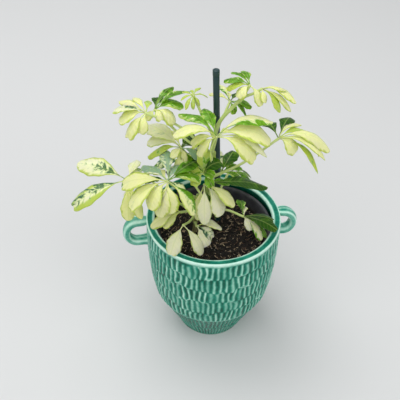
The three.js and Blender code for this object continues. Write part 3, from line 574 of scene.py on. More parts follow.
# The drain holes are cut with a ring of upright drills
drills = bpy.data.meshes.new("drills")
drill_points = []
drill_faces = []
for i in range(DRAIN_HOLES):
    angle = 2 * math.pi * i / DRAIN_HOLES
    first = len(drill_points)
    for height in (NURSERY_BASE - 0.002, NURSERY_BASE + 0.004):
        for j in range(DRILL_SIDES):
            turn = 2 * math.pi * j / DRILL_SIDES
            drill_points.append((DRAIN_CIRCLE * math.cos(angle) + DRAIN_RADIUS * math.cos(turn),
                                 DRAIN_CIRCLE * math.sin(angle) + DRAIN_RADIUS * math.sin(turn), height))
    lower = [first + j for j in range(DRILL_SIDES)]
    upper = [first + DRILL_SIDES + j for j in range(DRILL_SIDES)]
    drill_faces += [lower[::-1], upper]
    for j in range(DRILL_SIDES):
        k = (j + 1) % DRILL_SIDES
        drill_faces.append((lower[j], lower[k], upper[k], upper[j]))
drills.from_pydata(drill_points, [], drill_faces)
drill_object = bpy.data.objects.new("drills", drills)
for piece in (nursery, drill_object):
    bpy.context.collection.objects.link(piece)
cut = nursery.modifiers.new("drain_holes", "BOOLEAN")
cut.operation = "DIFFERENCE"
cut.object = drill_object
graph = bpy.context.evaluated_depsgraph_get()
drilled = bpy.data.meshes.new_from_object(nursery.evaluated_get(graph), depsgraph=graph)
nursery.modifiers.clear()
nursery.data = drilled
bpy.data.objects.remove(drill_object)

polypropylene, tree = new_material("black_moulded_polypropylene")
# Recycled black polypropylene with a satin skin, dusty grey scuffs, and a soil line on the inside
spot = node(tree, "ShaderNodeTexCoord").outputs["Object"]
scuffs = node(tree, "ShaderNodeTexNoise", {"Vector": spot, "Scale": 90.0, "Detail": 6.0, "Roughness": 0.7})
dusty = node(tree, "ShaderNodeMapRange", {"Value": scuffs, "From Min": 0.45, "From Max": 0.8})
plastic = node(tree, "ShaderNodeMix", {0: dusty.outputs[0], 6: linear("#35353b"), 7: linear("#55545a")},
               data_type="RGBA").outputs[2]
height = node(tree, "ShaderNodeSeparateXYZ", {0: spot}).outputs["Z"]
soiled_edge = node(tree, "ShaderNodeMath", {0: scuffs, 1: 0.012, 2: height}, operation="MULTIPLY_ADD")
soiled = node(tree, "ShaderNodeMapRange", {"Value": soiled_edge, "From Min": 0.146, "From Max": 0.1495,
                                           "To Min": 0.75, "To Max": 0.0})
coloured = node(tree, "ShaderNodeMix", {0: soiled.outputs[0], 6: plastic, 7: linear("#2a211b")},
                data_type="RGBA").outputs[2]
rough = node(tree, "ShaderNodeMapRange", {"Value": scuffs, "To Min": 0.42, "To Max": 0.62})
bump = node(tree, "ShaderNodeBump", {"Height": scuffs, "Strength": 0.1, "Distance": 0.0004})
end_material(tree, {"Base Color": coloured, "Roughness": rough.outputs[0], "Normal": bump, "IOR": 1.49})
nursery.data.materials.clear()
nursery.data.materials.append(polypropylene)
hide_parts("nursery_pot")
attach(nursery, "root")


# Potting soil. Dark damp peat heaped round the stems, with crumbs of peat, chips of bark, brown
# root and coir fibres, and a few pale specks of grit lying on it.
SOIL_TOP = 0.138
SOIL_MOUND = 0.008
SOIL_BOTTOM = 0.042
SOIL_COLUMNS = 160
SOIL_RINGS = 60

wall_at_top = nursery_radius(SOIL_TOP) - NURSERY_WALL - 0.0001
wall_at_bottom = nursery_radius(SOIL_BOTTOM) - NURSERY_WALL - 0.0003


def soil_height(radius):
    """Height of the soil heap before its lumps."""
    return SOIL_TOP + SOIL_MOUND * (1 - (radius / wall_at_top) ** 2)


heap = [(0, SOIL_BOTTOM), (wall_at_bottom, SOIL_BOTTOM)]
heap += [(wall_at_bottom + (wall_at_top - wall_at_bottom) * s, SOIL_BOTTOM + (SOIL_TOP - SOIL_BOTTOM) * s)
         for s in (0.5, 0.9, 1.0)]
heap += [(wall_at_top * s, soil_height(wall_at_top * s)) for s in np.linspace(0.985, 0.0, SOIL_RINGS)]

peat, tree = new_material("damp_peat")
# Peat is nearly black when damp and matt, with browner crumbs
spot = node(tree, "ShaderNodeTexCoord").outputs["Object"]
clumps = node(tree, "ShaderNodeTexNoise", {"Vector": spot, "Scale": 140.0, "Detail": 5.0,
                                           "Roughness": 0.65})
grains = node(tree, "ShaderNodeTexNoise", {"Vector": spot, "Scale": 620.0, "Detail": 3.0})
browner = node(tree, "ShaderNodeMapRange", {"Value": clumps, "From Min": 0.42, "From Max": 0.72})
dark_peat = node(tree, "ShaderNodeMix", {0: browner.outputs[0], 6: linear("#080605"), 7: linear("#20160f")},
                 data_type="RGBA").outputs[2]
paler = node(tree, "ShaderNodeMapRange", {"Value": grains, "From Min": 0.6, "From Max": 0.8, "To Max": 0.4})
speckled = node(tree, "ShaderNodeMix", {0: paler.outputs[0], 6: dark_peat, 7: linear("#6b5642")},
                data_type="RGBA").outputs[2]
lumps = node(tree, "ShaderNodeBump", {"Height": grains, "Strength": 0.5, "Distance": 0.001})
end_material(tree, {"Base Color": speckled, "Roughness": 0.92, "Normal": lumps})

bark, tree = new_material("composted_bark")
# Composted bark: split fibrous wood, warm brown to grey-brown, matt
spot = node(tree, "ShaderNodeTexCoord").outputs["Object"]
luck = node(tree, "ShaderNodeAttribute", attribute_name="luck").outputs["Fac"]
fibre = node(tree, "ShaderNodeTexNoise", {"Vector": spot, "Scale": 900.0, "Detail": 3.0})
kind = node(tree, "ShaderNodeValToRGB", {"Fac": luck})
kind.color_ramp.elements[0].color = linear("#0d0906")
kind.color_ramp.elements[1].color = linear("#dcc7a4")
for position, code in ((0.5, "#1f150e"), (0.76, "#664c38")):
    kind.color_ramp.elements.new(position).color = linear(code)
dim = node(tree, "ShaderNodeMapRange", {"Value": fibre, "From Min": 0.3, "From Max": 0.7, "To Max": 0.5})
shaded = node(tree, "ShaderNodeMix", {0: dim.outputs[0], 6: kind, 7: linear("#140e0a")},
              data_type="RGBA").outputs[2]
end_material(tree, {"Base Color": shaded, "Roughness": 0.85})

grit, tree = new_material("pale_grit")
# Perlite and lime grit: chalky off-white grains, matt
spot = node(tree, "ShaderNodeTexCoord").outputs["Object"]
dirt = node(tree, "ShaderNodeTexNoise", {"Vector": spot, "Scale": 500.0, "Detail": 3.0})
dirty = node(tree, "ShaderNodeMix", {0: dirt, 6: linear("#c8c0b0"), 7: linear("#6f6455")},
             data_type="RGBA").outputs[2]
end_material(tree, {"Base Color": dirty, "Roughness": 0.8})

# The heap's top is raised in lumps, with small crumbs on them
heap_tree, size = new_tree("soil_heap", {"Lump Height": "Float", "Crumb Height": "Float",
                                         "Material": "Material"})
t = heap_tree
place = node(t, "GeometryNodeInputPosition")
lump = node(t, "ShaderNodeTexNoise", {"Vector": place, "Scale": 62.0, "Detail": 3.0})
crumb = node(t, "ShaderNodeTexVoronoi", {"Vector": place, "Scale": 330.0, "Randomness": 1.0})
lump_middle = node(t, "ShaderNodeMath", {0: lump, 1: 0.5}, operation="SUBTRACT")
crumb_middle = node(t, "ShaderNodeMath", {0: 0.45, 1: crumb.outputs["Distance"]}, operation="SUBTRACT")
lump_rise = node(t, "ShaderNodeMath", {0: lump_middle, 1: size["Lump Height"]}, operation="MULTIPLY")
rise = node(t, "ShaderNodeMath", {0: crumb_middle, 1: size["Crumb Height"], 2: lump_rise},
            operation="MULTIPLY_ADD")
level = node(t, "ShaderNodeSeparateXYZ", {0: place}).outputs["Z"]
is_top = node(t, "ShaderNodeMath", {0: level, 1: SOIL_TOP - 0.0005}, operation="GREATER_THAN")
top_rise = node(t, "ShaderNodeMath", {0: rise, 1: is_top}, operation="MULTIPLY")
up = node(t, "ShaderNodeCombineXYZ", {2: top_rise})
heaped = node(t, "GeometryNodeSetPosition", {"Geometry": size["Geometry"], "Offset": up})
end_tree(t, heaped, size["Material"])

soil = grow("soil_heap", lathe("soil_heap", heap, SOIL_COLUMNS), [
    (heap_tree, {"Lump Height": 0.011, "Crumb Height": 0.0032, "Material": peat})])

# Litter lying on the heap: short bent bars, scaled to crumbs, chips or fibres, turned at random
litter_tree, size = new_tree("soil_litter", {
    "Density": "Float", "Length": "Float", "Width": "Float", "Thickness": "Float", "Bend": "Float",
    "Steps": "Int", "Stand": "Float", "Seed": "Int", "Material": "Material"})
t = litter_tree
bar = node(t, "GeometryNodeMeshCube", {"Size": (1, 1, 1), "Vertices X": size["Steps"], "Vertices Y": 2,
                                       "Vertices Z": 2})
x, y, z = node(t, "ShaderNodeSeparateXYZ", {0: node(t, "GeometryNodeInputPosition")}).outputs
x_square = node(t, "ShaderNodeMath", {0: x, 1: x}, operation="MULTIPLY")
taper = node(t, "ShaderNodeMath", {0: x_square, 1: -2.4, 2: 1.0}, operation="MULTIPLY_ADD")
bar_length = node(t, "ShaderNodeMath", {0: x, 1: size["Length"]}, operation="MULTIPLY")
bar_width = node(t, "ShaderNodeMath", {0: y, 1: size["Width"]}, operation="MULTIPLY")
bar_width_taper = node(t, "ShaderNodeMath", {0: bar_width, 1: taper}, operation="MULTIPLY")
bar_bend = node(t, "ShaderNodeMath", {0: x_square, 1: size["Bend"]}, operation="MULTIPLY")
bar_y = node(t, "ShaderNodeMath", {0: bar_bend, 1: size["Length"], 2: bar_width_taper},
             operation="MULTIPLY_ADD")
bar_thick = node(t, "ShaderNodeMath", {0: z, 1: size["Thickness"]}, operation="MULTIPLY")
bar_z = node(t, "ShaderNodeMath", {0: bar_thick, 1: taper}, operation="MULTIPLY")
bar_place = node(t, "ShaderNodeCombineXYZ", {0: bar_length, 1: bar_y, 2: bar_z})
piece_shape = node(t, "GeometryNodeSetPosition", {"Geometry": bar, "Position": bar_place})
heap_normal = node(t, "ShaderNodeSeparateXYZ", {0: node(t, "GeometryNodeInputNormal")}).outputs["Z"]
faces_up = node(t, "ShaderNodeMath", {0: heap_normal, 1: 0.2}, operation="GREATER_THAN")
points = node(t, "GeometryNodeDistributePointsOnFaces", {
    "Mesh": size["Geometry"], "Selection": faces_up, "Density": size["Density"], "Seed": size["Seed"]})
lucky = node(t, "FunctionNodeRandomValue", {"Seed": size["Seed"]}, data_type="FLOAT").outputs[1]
lucky_points = node(t, "GeometryNodeStoreNamedAttribute",
                    {"Geometry": points.outputs["Points"], "Name": "luck", "Value": lucky},
                    data_type="FLOAT", domain="POINT")
second_seed = node(t, "ShaderNodeMath", {0: size["Seed"], 1: 7.0}, operation="ADD")
spin = node(t, "FunctionNodeRandomValue", {2: -math.pi, 3: math.pi, "Seed": second_seed}, data_type="FLOAT")
third_seed = node(t, "ShaderNodeMath", {0: size["Seed"], 1: 13.0}, operation="ADD")
tip = node(t, "FunctionNodeRandomValue", {2: -1.0, 3: 1.0, "Seed": third_seed}, data_type="FLOAT")
tip_turn = node(t, "ShaderNodeMath", {0: tip.outputs[1], 1: size["Stand"]}, operation="MULTIPLY")
turned = node(t, "ShaderNodeCombineXYZ", {0: tip_turn, 1: tip_turn, 2: spin.outputs[1]})
fourth_seed = node(t, "ShaderNodeMath", {0: size["Seed"], 1: 19.0}, operation="ADD")
growth = node(t, "FunctionNodeRandomValue", {2: 0.5, 3: 1.5, "Seed": fourth_seed}, data_type="FLOAT")
litter = node(t, "GeometryNodeInstanceOnPoints", {
    "Points": lucky_points, "Instance": piece_shape, "Rotation": turned, "Scale": growth.outputs[1]})
end_tree(t, litter, size["Material"])

# Pieces per square metre, length, width, thickness, bend, steps along, how far a piece stands up
# from flat, seed and material
LITTERS = {
    "soil_crumbs": (190000.0, 0.0023, 0.0020, 0.0017, 0.1, 3, 0.8, 1, peat),
    "soil_bark": (34000.0, 0.0042, 0.0020, 0.0011, 0.15, 3, 0.5, 2, bark),
    "soil_fibres": (110000.0, 0.0070, 0.0007, 0.0005, 0.9, 6, 0.35, 3, bark),
    "soil_grit": (14000.0, 0.0012, 0.0011, 0.0009, 0.0, 3, 0.8, 4, grit),
}
for name, (density, length, width, thickness, bend, steps, stand, seed, material) in LITTERS.items():
    litter = grow(name, soil.data.copy(), [(litter_tree, {
        "Density": density, "Length": length, "Width": width, "Thickness": thickness, "Bend": bend,
        "Steps": steps, "Stand": stand, "Seed": seed, "Material": material})])
    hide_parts("soil")
    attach(litter, "root")
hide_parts("soil")
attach(soil, "root")


# Support stake. A steel tube in a smooth dark green plastic coat, with a pressed-on blunt cap,
# pushed down into the soil behind the stems.
STAKE_RADIUS = 0.0033
STAKE_FOOT = Vector((0.011, 0.012, 0.062))
STAKE_TOP = Vector((-0.0005, 0.013, 0.3462))
STAKE_COLUMNS = 40
CAP_LENGTH = 0.007
CAP_ROUNDING = 0.0012

stake_length = (STAKE_TOP - STAKE_FOOT).length
cap_bottom = stake_length - CAP_LENGTH
rod_profile = [(0, 0), (STAKE_RADIUS * 0.8, 0), (STAKE_RADIUS, 0.001)]
rod_profile += [(STAKE_RADIUS, d) for d in np.linspace(0.02, cap_bottom - 0.0006, 12)]
rod_profile += [(STAKE_RADIUS - 0.0003, cap_bottom - 0.0002), (STAKE_RADIUS - 0.0003, cap_bottom)]
rod_profile += [(STAKE_RADIUS + 0.0001, cap_bottom + 0.0003), (STAKE_RADIUS + 0.0002, cap_bottom + 0.0012)]
rod_profile += [(STAKE_RADIUS + 0.0002, stake_length - CAP_ROUNDING)]
rod_profile += arc((STAKE_RADIUS - 0.0010, stake_length - CAP_ROUNDING), CAP_ROUNDING, 10, 90, 6)
rod_profile += [(STAKE_RADIUS - 0.0014, stake_length - 0.0002), (0, stake_length - 0.0002)]
stake_mesh = lathe("stake_rod", rod_profile, STAKE_COLUMNS)
stake_turn = (STAKE_TOP - STAKE_FOOT).to_track_quat("Z", "Y").to_matrix().to_4x4()
stake_turn.translation = STAKE_FOOT
stake_mesh.transform(stake_turn)
stake = bpy.data.objects.new("stake_rod", stake_mesh)
bpy.context.collection.objects.link(stake)

coating, tree = new_material("plastic_coated_steel_tube")
# Extruded polyethylene coat: smooth and even, a soft sheen down one side, faint draw lines
spot = node(tree, "ShaderNodeTexCoord").outputs["Object"]
stretched = node(tree, "ShaderNodeMapping", {"Vector": spot, "Scale": (900.0, 900.0, 25.0)})
draw_lines = node(tree, "ShaderNodeTexNoise", {"Vector": stretched, "Scale": 1.0, "Detail": 2.0})
dust = node(tree, "ShaderNodeTexNoise", {"Vector": spot, "Scale": 60.0, "Detail": 4.0})
tint = node(tree, "ShaderNodeMix", {0: dust, 6: linear("#0f2f2e"), 7: linear("#1b3d40")},
            data_type="RGBA").outputs[2]
rough = node(tree, "ShaderNodeMapRange", {"Value": dust, "To Min": 0.3, "To Max": 0.48})
bump = node(tree, "ShaderNodeBump", {"Height": draw_lines, "Strength": 0.08, "Distance": 0.0003})
end_material(tree, {"Base Color": tint, "Roughness": rough.outputs[0], "Normal": bump, "IOR": 1.51})
stake_mesh.materials.append(coating)
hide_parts("stake")
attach(stake, "root")


# Stems. A main stem beside the stake and a shorter one, woody and corky near the soil and green
# above, with a scar and a slight swelling at each leaf. Measures here are in millimetres.
MM = 0.001
MAIN_STEM = [(-8, 4, 116), (-9, 4, 150), (-8, 3, 195), (-6, 2, 235), (-2, 2, 270), (3, 2, 292),
             (15, 2, 308), (29, 1, 324)]
SIDE_STEM = [(-21, 0, 118), (-21, -1, 150), (-20, -3, 180), (-19, -6, 205)]
# Points of each stem, and its radius at the foot and at the top
STEMS = {"stem_main": (MAIN_STEM, 3.7, 1.6), "stem_side": (SIDE_STEM, 3.1, 1.6)}
# Height of each leaf scar
STEM_SCARS = {
    "stem_main": (128, 139, 160, 163, 168, 172, 178, 184, 190, 212, 218, 224, 226, 244, 250, 272, 288, 316,
                  321),
    "stem_side": (133, 146, 160, 172, 184, 198),
}
SCAR_RISE = 0.5
SCAR_LENGTH = 1.6
STEM_SIDES = 20
STEM_TIP = 0.4
CURVE_STEPS = 24


def smooth_path(points, steps):
    """Evenly spaced points in millimetres along a smooth curve through the given points."""
    knots = [Vector(p) for p in points]
    knots = [knots[0] * 2 - knots[1]] + knots + [knots[-1] * 2 - knots[-2]]
    dense = []
    for a, b, c, d in zip(knots, knots[1:], knots[2:], knots[3:]):
        ab, bc, cd = ((q - p).length ** 0.5 for p, q in ((a, b), (b, c), (c, d)))
        for i in range(CURVE_STEPS):
            s = ab + bc * i / CURVE_STEPS
            first = a.lerp(b, s / ab)
            second = b.lerp(c, (s - ab) / bc)
            third = c.lerp(d, (s - ab - bc) / cd)
            fourth = first.lerp(second, s / (ab + bc))
            fifth = second.lerp(third, (s - ab) / (bc + cd))
            dense.append(fourth.lerp(fifth, (s - ab) / bc))
    dense.append(knots[-2])
    lengths = np.cumsum([0] + [(q - p).length for p, q in zip(dense, dense[1:])])
    wanted = np.linspace(0, lengths[-1], steps + 1)
    return np.array([[np.interp(w, lengths, [p[i] for p in dense]) for i in range(3)] for w in wanted])


sweep_tree, size = new_tree("swept_stem", {"Sides": "Int", "Material": "Material"})
t = sweep_tree
path = node(t, "GeometryNodeMeshToCurve", {"Mesh": size["Geometry"]})
ring = node(t, "GeometryNodeCurvePrimitiveCircle", {"Resolution": size["Sides"], "Radius": 1.0},
            mode="RADIUS")
girth = node(t, "GeometryNodeInputNamedAttribute", {"Name": "girth"}, data_type="FLOAT")
swept = node(t, "GeometryNodeCurveToMesh", {"Curve": path, "Profile Curve": ring, "Scale": girth,
                                            "Fill Caps": True})
smooth = node(t, "GeometryNodeSetShadeSmooth", {"Geometry": swept})
end_tree(t, smooth, size["Material"])

stem_skin, tree = new_material("young_stem_skin")
# Living stem: smooth yellow-green skin, browner and corky near the soil, dotted with pale pores
spot = node(tree, "ShaderNodeTexCoord").outputs["Object"]
height = node(tree, "ShaderNodeSeparateXYZ", {0: spot}).outputs["Z"]
mottle = node(tree, "ShaderNodeTexNoise", {"Vector": spot, "Scale": 160.0, "Detail": 4.0})
cork_edge = node(tree, "ShaderNodeMath", {0: mottle, 1: 0.07, 2: height}, operation="MULTIPLY_ADD")
green_share = node(tree, "ShaderNodeMapRange", {"Value": cork_edge, "From Min": 0.185, "From Max": 0.235})
green = node(tree, "ShaderNodeMix", {0: mottle, 6: linear("#9db857"), 7: linear("#c9d98a")},
             data_type="RGBA").outputs[2]
skin = node(tree, "ShaderNodeMix", {0: green_share.outputs[0], 6: linear("#7d7650"), 7: green},
            data_type="RGBA").outputs[2]
pore = node(tree, "ShaderNodeTexVoronoi", {"Vector": spot, "Scale": 420.0})
pore_mask = node(tree, "ShaderNodeMapRange", {"Value": pore.outputs["Distance"], "From Min": 0.12,
                                              "From Max": 0.26, "To Min": 0.55, "To Max": 0.0})
dotted = node(tree, "ShaderNodeMix", {0: pore_mask.outputs[0], 6: skin, 7: linear("#cfc9a2")},
              data_type="RGBA").outputs[2]
bump = node(tree, "ShaderNodeBump", {"Height": mottle, "Strength": 0.3, "Distance": 0.0008})
end_material(tree, {
    "Base Color": dotted, "Roughness": 0.5, "Normal": bump, "Subsurface Weight": 0.1,
    "Subsurface Radius": (0.002, 0.002, 0.001), "Subsurface Scale": 1.0})

for name, (points, bottom, top) in STEMS.items():
    line = smooth_path(points, 90)
    radii = np.linspace(bottom, top, len(line))
    for scar in STEM_SCARS[name]:
        radii += SCAR_RISE * np.exp(-((line[:, 2] - scar) / SCAR_LENGTH) ** 2)
    radii[-1] *= STEM_TIP
    start_mesh = line_mesh(name, (line * MM).tolist(), radii * MM)
    stem = grow(name + "_grown", start_mesh, [(sweep_tree, {"Sides": STEM_SIDES, "Material": stem_skin})])
    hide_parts(name)
    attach(stem, "root")


# Leaves. Each is a thin stalk from the stem to a small hub, and 2 to 15 leaflets spread round the
# hub: short-stalked, broadest past the middle, blunt or notched, folded near the stalk and domed
# further out, with a grooved midrib and slanting side veins. Cream and green in patches. Millimetres.
PETIOLE_FOOT_RADIUS = 2.0
PETIOLE_RADIUS = 1.35
PETIOLE_SAG = 0.08
HUB_RADIUS = 2.1
HUB_PASS = 1.3
HUB_TIP_RADIUS = 0.7
LEAFLET_ARCH = 0.14
HIGH_ARCH = 0.2
# How far the middle of a stalk is pushed aside
STALK_BENDS = {"leaf_01": (0, 0, 13), "leaf_13": (0, 6, 11)}
LEAF_SEED = 100
BLADE_STEPS = (37, 15)

# How much green there is, how far the green keeps to the middle, to one side and to the stalk's end, how
# wide the lime margin is, and how pale the cream is; a tone over 0.5 also cools the green, and one over
# 0.85 paints a grey-blue sky reflection over it
LOOKS = {
    "cream": (-1.0, 0.15, 0.0, 0.0, 0.22, 0.15),
    "pale": (-0.8, 0.1, 0.0, 0.0, 0.12, 0.65),
    "patch": (-0.4, 0.5, 0.1, 0.5, 0.26, 0.7),
    "striped": (-0.1, 0.0, 0.2, 0.1, 0.15, 0.7),
    "edged": (0.05, 0.75, 0.1, 0.1, 0.12, 0.4),
    "banded": (-0.45, -0.8, 0.1, 0.0, 0.1, 0.4),
    "left_half": (-0.2, 0.0, 0.9, 0.0, 0.2, 0.3),
    "right_half": (-0.4, 0.0, -0.9, 0.0, 0.2, 0.3),
    "limed_half": (-0.2, 0.2, -0.5, 0.1, 0.6, 0.7),
    "green": (0.5, 0.45, 0.1, 0.0, 0.4, 0.3),
    "dark": (1.4, 0.0, 0.0, 0.0, 0.0, 0.2),
    "lime": (-0.55, 0.1, 0.0, 0.0, 1.1, 0.2),
    "fresh": (0.3, 0.4, 0.1, 0.0, 0.55, 0.2),
    "olive": (-0.3, 0.2, 0.1, 0.0, 1.3, 0.2),
    "grey": (0.3, 0.3, 0.15, 0.0, 0.2, 1.0),
}
# Stem, height of the stalk's foot, place of the hub and arch of the blades, then for each leaflet its
# bearing and rise in degrees, its length and width in millimetres, its look, and a tilt in degrees
LEAVES = {
    "leaf_01": (MAIN_STEM, 163, (31, -13, 172), LEAFLET_ARCH, [
        (-40, 2, 43, 15, "dark"), (-22, 6, 36, 13, "dark"), (-60, -20, 34, 11, "banded"),
        (-46, -22, 35, 8, "green"), (-75, -10, 19, 10, "pale"), (74, -5, 21, 7, "pale"),
        (86, 0, 31, 11, "green")]),
    "leaf_02": (SIDE_STEM, 160, (-23, -26, 177), LEAFLET_ARCH, [
        (-63, -30, 25, 15, "pale"), (-5, -5, 28, 14, "pale"), (-35, -22, 23, 13, "striped")]),
    "leaf_03": (SIDE_STEM, 172, (-38, -29, 183), LEAFLET_ARCH, [
        (-122, -24, 36, 17, "pale"), (-54, -35, 38, 15, "pale")]),
    "leaf_04": (SIDE_STEM, 184, (-39, -18, 192), LEAFLET_ARCH, [
        (-167, -15, 36, 14, "cream"), (-145, -15, 26, 12, "cream"), (178, 4, 26, 10, "cream")]),
    "leaf_05": (MAIN_STEM, 178, (-13, -10, 221), LEAFLET_ARCH, [
        (-97, -45, 42, 16, "pale"), (-58, -40, 38, 20, "pale"), (-30, -25, 40, 19, "cream"),
        (-5, -5, 68, 22, "dark"), (-78, -58, 38, 13, "dark"), (12, -14, 30, 10, "green"),
        (-122, -62, 41, 13, "cream"), (-50, -60, 44, 14, "dark")]),
    "leaf_06": (MAIN_STEM, 172, (-93, 10, 219), LEAFLET_ARCH, [
        (156, 14, 56, 24, "patch", -22), (-168, -16, 69, 22, "limed_half", -22), (66, 5, 33, 13, "pale"),
        (44, 0, 27, 9, "striped"), (-96, -60, 46, 17, "cream"), (-66, -46, 45, 12, "cream")]),
    "leaf_07": (MAIN_STEM, 190, (12, 28, 203), LEAFLET_ARCH, [
        (48, 32, 31, 17, "dark"), (18, -5, 27, 12, "green"), (84, 25, 28, 9, "striped"),
        (112, 5, 32, 13, "dark"), (70, -8, 30, 13, "dark"), (172, 8, 33, 15, "green", -22),
        (-10, -20, 26, 10, "green")]),
    "leaf_08": (SIDE_STEM, 198, (-53, -22, 240), LEAFLET_ARCH, [
        (172, -4, 50, 21, "cream"), (-157, -20, 51, 20, "cream"), (-136, -30, 34, 19, "cream"),
        (-119, -45, 38, 19, "cream"), (-91, -43, 33, 22, "cream"), (132, 5, 35, 15, "grey"),
        (91, 20, 40, 14, "grey"), (54, 10, 28, 12, "grey"), (33, 10, 41, 14, "green"),
        (8, -5, 36, 16, "fresh"), (-41, -38, 45, 18, "left_half"), (112, -8, 28, 13, "cream"),
        (-22, -34, 26, 11, "striped"), (70, -10, 26, 12, "dark"), (150, -14, 27, 12, "dark")]),
    "leaf_09": (MAIN_STEM, 224, (-14, -10, 236), LEAFLET_ARCH, [
        (20, 72, 28, 23, "olive", 90), (-12, 45, 24, 14, "dark", 50), (-60, 30, 18, 10, "green", 30),
        (120, 30, 24, 12, "dark", 20), (165, 12, 23, 15, "olive", -32), (60, 42, 24, 15, "dark", 30),
        (-136, -12, 19, 12, "olive"), (-64, -20, 17, 11, "green")]),
    "leaf_10": (MAIN_STEM, 218, (62, -10, 274), HIGH_ARCH, [
        (57, 5, 37, 16, "dark"), (30, 10, 32, 9, "cream"), (16, 0, 33, 10, "lime"),
        (-24, 0, 53, 17, "cream"), (-34, -8, 53, 11, "cream"), (-18, -18, 50, 12, "cream"),
        (-36, -30, 54, 9, "lime"), (-45, -15, 23, 17, "cream"), (100, 0, 31, 14, "dark")]),
    # Its two large pale leaflets lie in the shadow of leaf_13 and leaf_14; their pale look is partly their
    # own paler tone and partly painted light against that shadow
    "leaf_11": (MAIN_STEM, 226, (-35, 11, 256), LEAFLET_ARCH, [
        (135, 14, 46, 23, "pale", -14), (154, 0, 38, 17, "pale", -12), (176, -15, 37, 16, "lime"),
        (48, 20, 22, 12, "dark"), (105, 10, 27, 9, "cream"), (8, 18, 22, 10, "dark"),
        (-128, 4, 20, 9, "cream"), (-28, -16, 25, 13, "grey"), (22, -4, 24, 10, "green"),
        (-80, -30, 17, 8, "cream"), (-4, 0, 27, 10, "dark"), (-60, -48, 26, 12, "green"),
        (-104, -48, 32, 13, "cream")]),
    "leaf_12": (MAIN_STEM, 250, (-4, -20, 290), HIGH_ARCH, [
        (-176, 12, 44, 21, "cream"), (-178, -14, 28, 13, "cream"), (-158, -32, 27, 14, "cream"),
        (141, 16, 45, 14, "fresh"), (102, 18, 37, 15, "fresh"), (-130, -66, 27, 12, "olive", 70),
        (-2, 15, 57, 19, "right_half"), (-17, 2, 55, 26, "cream", 14), (-33, -20, 46, 20, "cream", 8),
        (-24, -12, 53, 10, "pale"), (28, -8, 24, 10, "cream")]),
    "leaf_13": (MAIN_STEM, 252, (-70, 12, 302), LEAFLET_ARCH, [
        (163, 2, 34, 18, "patch"), (-176, -12, 28, 19, "cream"), (-145, -35, 33, 14, "cream"),
        (-120, -38, 22, 13, "cream"), (108, -2, 32, 8, "cream"), (80, -5, 26, 8, "lime"),
        (137, 2, 34, 9, "cream")]),
    "leaf_14": (MAIN_STEM, 248, (-60, 22, 298), LEAFLET_ARCH, [
        (-142, -20, 14, 9, "cream"), (-70, -8, 15, 10, "cream"), (-28, -18, 24, 19, "cream"),
        (16, 0, 31, 18, "fresh", 12), (65, 0, 25, 15, "dark"), (52, 15, 37, 9, "green"),
        (25, 10, 44, 11, "green")]),
    "leaf_15": (MAIN_STEM, 272, (-22, 16, 316), LEAFLET_ARCH, [
        (-160, -5, 14, 4, "lime"), (-128, -25, 17, 4.5, "lime"), (-98, -40, 14, 4.5, "lime"),
        (-50, -35, 12, 4, "lime"), (10, -15, 16, 4, "lime"), (50, 8, 14, 4, "lime"), (88, 4, 10, 4, "lime"),
        (135, -5, 14, 4, "lime")]),
    "leaf_16": (MAIN_STEM, 288, (17, 24, 300), LEAFLET_ARCH, [
        (105, 5, 33, 10, "left_half"), (135, 0, 26, 8, "cream"), (83, 0, 19, 7, "cream"),
        (54, 0, 20, 10, "dark"), (-5, -15, 24, 10, "green"), (-28, -30, 22, 9, "green"),
        (-78, -30, 14, 8, "green")]),
    "leaf_17": (MAIN_STEM, 316, (31, 1, 333), LEAFLET_ARCH, [
        (150, 1, 27, 12, "fresh"), (93, 5, 26, 10, "fresh"), (116, 1, 30, 9, "fresh"),
        (165, -10, 23, 11, "lime"), (-152, -25, 17, 14, "cream"), (-58, -35, 23, 11, "cream")]),
    "leaf_18": (MAIN_STEM, 321, (42, -3, 331), LEAFLET_ARCH, [
        (-22, 6, 24, 8, "cream"), (-29, -8, 36, 10, "cream"), (-30, -26, 36, 9, "cream"),
        (-50, -30, 29, 8, "lime"), (-86, -30, 15, 7, "cream")]),
    "leaf_19": (MAIN_STEM, 184, (-26, 56, 200), LEAFLET_ARCH, [
        (150, -25, 46, 18, "green"), (115, -30, 50, 19, "edged"), (80, -30, 50, 19, "dark"),
        (45, -35, 46, 18, "cream"), (-178, 2, 32, 14, "striped"), (15, -35, 34, 13, "green")]),
    "leaf_20": (MAIN_STEM, 168, (26, 54, 180), LEAFLET_ARCH, [
        (130, -25, 42, 16, "edged"), (95, -25, 48, 18, "green"), (60, -30, 46, 17, "patch"),
        (25, -30, 40, 15, "dark"), (-10, -20, 30, 12, "green")]),
    "leaf_21": (MAIN_STEM, 160, (-66, 42, 190), LEAFLET_ARCH, [
        (172, -35, 40, 16, "cream"), (140, -30, 48, 18, "green"), (105, -35, 46, 18, "left_half"),
        (72, -38, 27, 12, "green")]),
}

leaf_tree, size = new_tree("umbrella_leaf", {
    "Steps Along": "Int", "Steps Across": "Int", "Stalk Share": "Float", "Stalk Half Width": "Float",
    "Stalk Half Depth": "Float", "Blade Half Depth": "Float", "Vein Spacing": "Float", "Vein Rise": "Float",
    "Margin Wave": "Float", "Petiole Sides": "Int", "Blade Material": "Material",
    "Stalk Material": "Material"})
t = leaf_tree
# The hub's points carry leaflets, and the stalk's points are swept to a stalk
is_leaflet = node(t, "GeometryNodeInputNamedAttribute", {"Name": "is_blade"}, data_type="FLOAT")
sorted_parts = node(t, "GeometryNodeSeparateGeometry",
                    {"Geometry": size["Geometry"], "Selection": is_leaflet})
path = node(t, "GeometryNodeMeshToCurve", {"Mesh": sorted_parts.outputs["Inverted"]})
ring = node(t, "GeometryNodeCurvePrimitiveCircle", {"Resolution": size["Petiole Sides"], "Radius": 1.0},
            mode="RADIUS")
girth = node(t, "GeometryNodeInputNamedAttribute", {"Name": "girth"}, data_type="FLOAT")
petiole = node(t, "GeometryNodeCurveToMesh", {"Curve": path, "Profile Curve": ring, "Scale": girth,
                                              "Fill Caps": True})
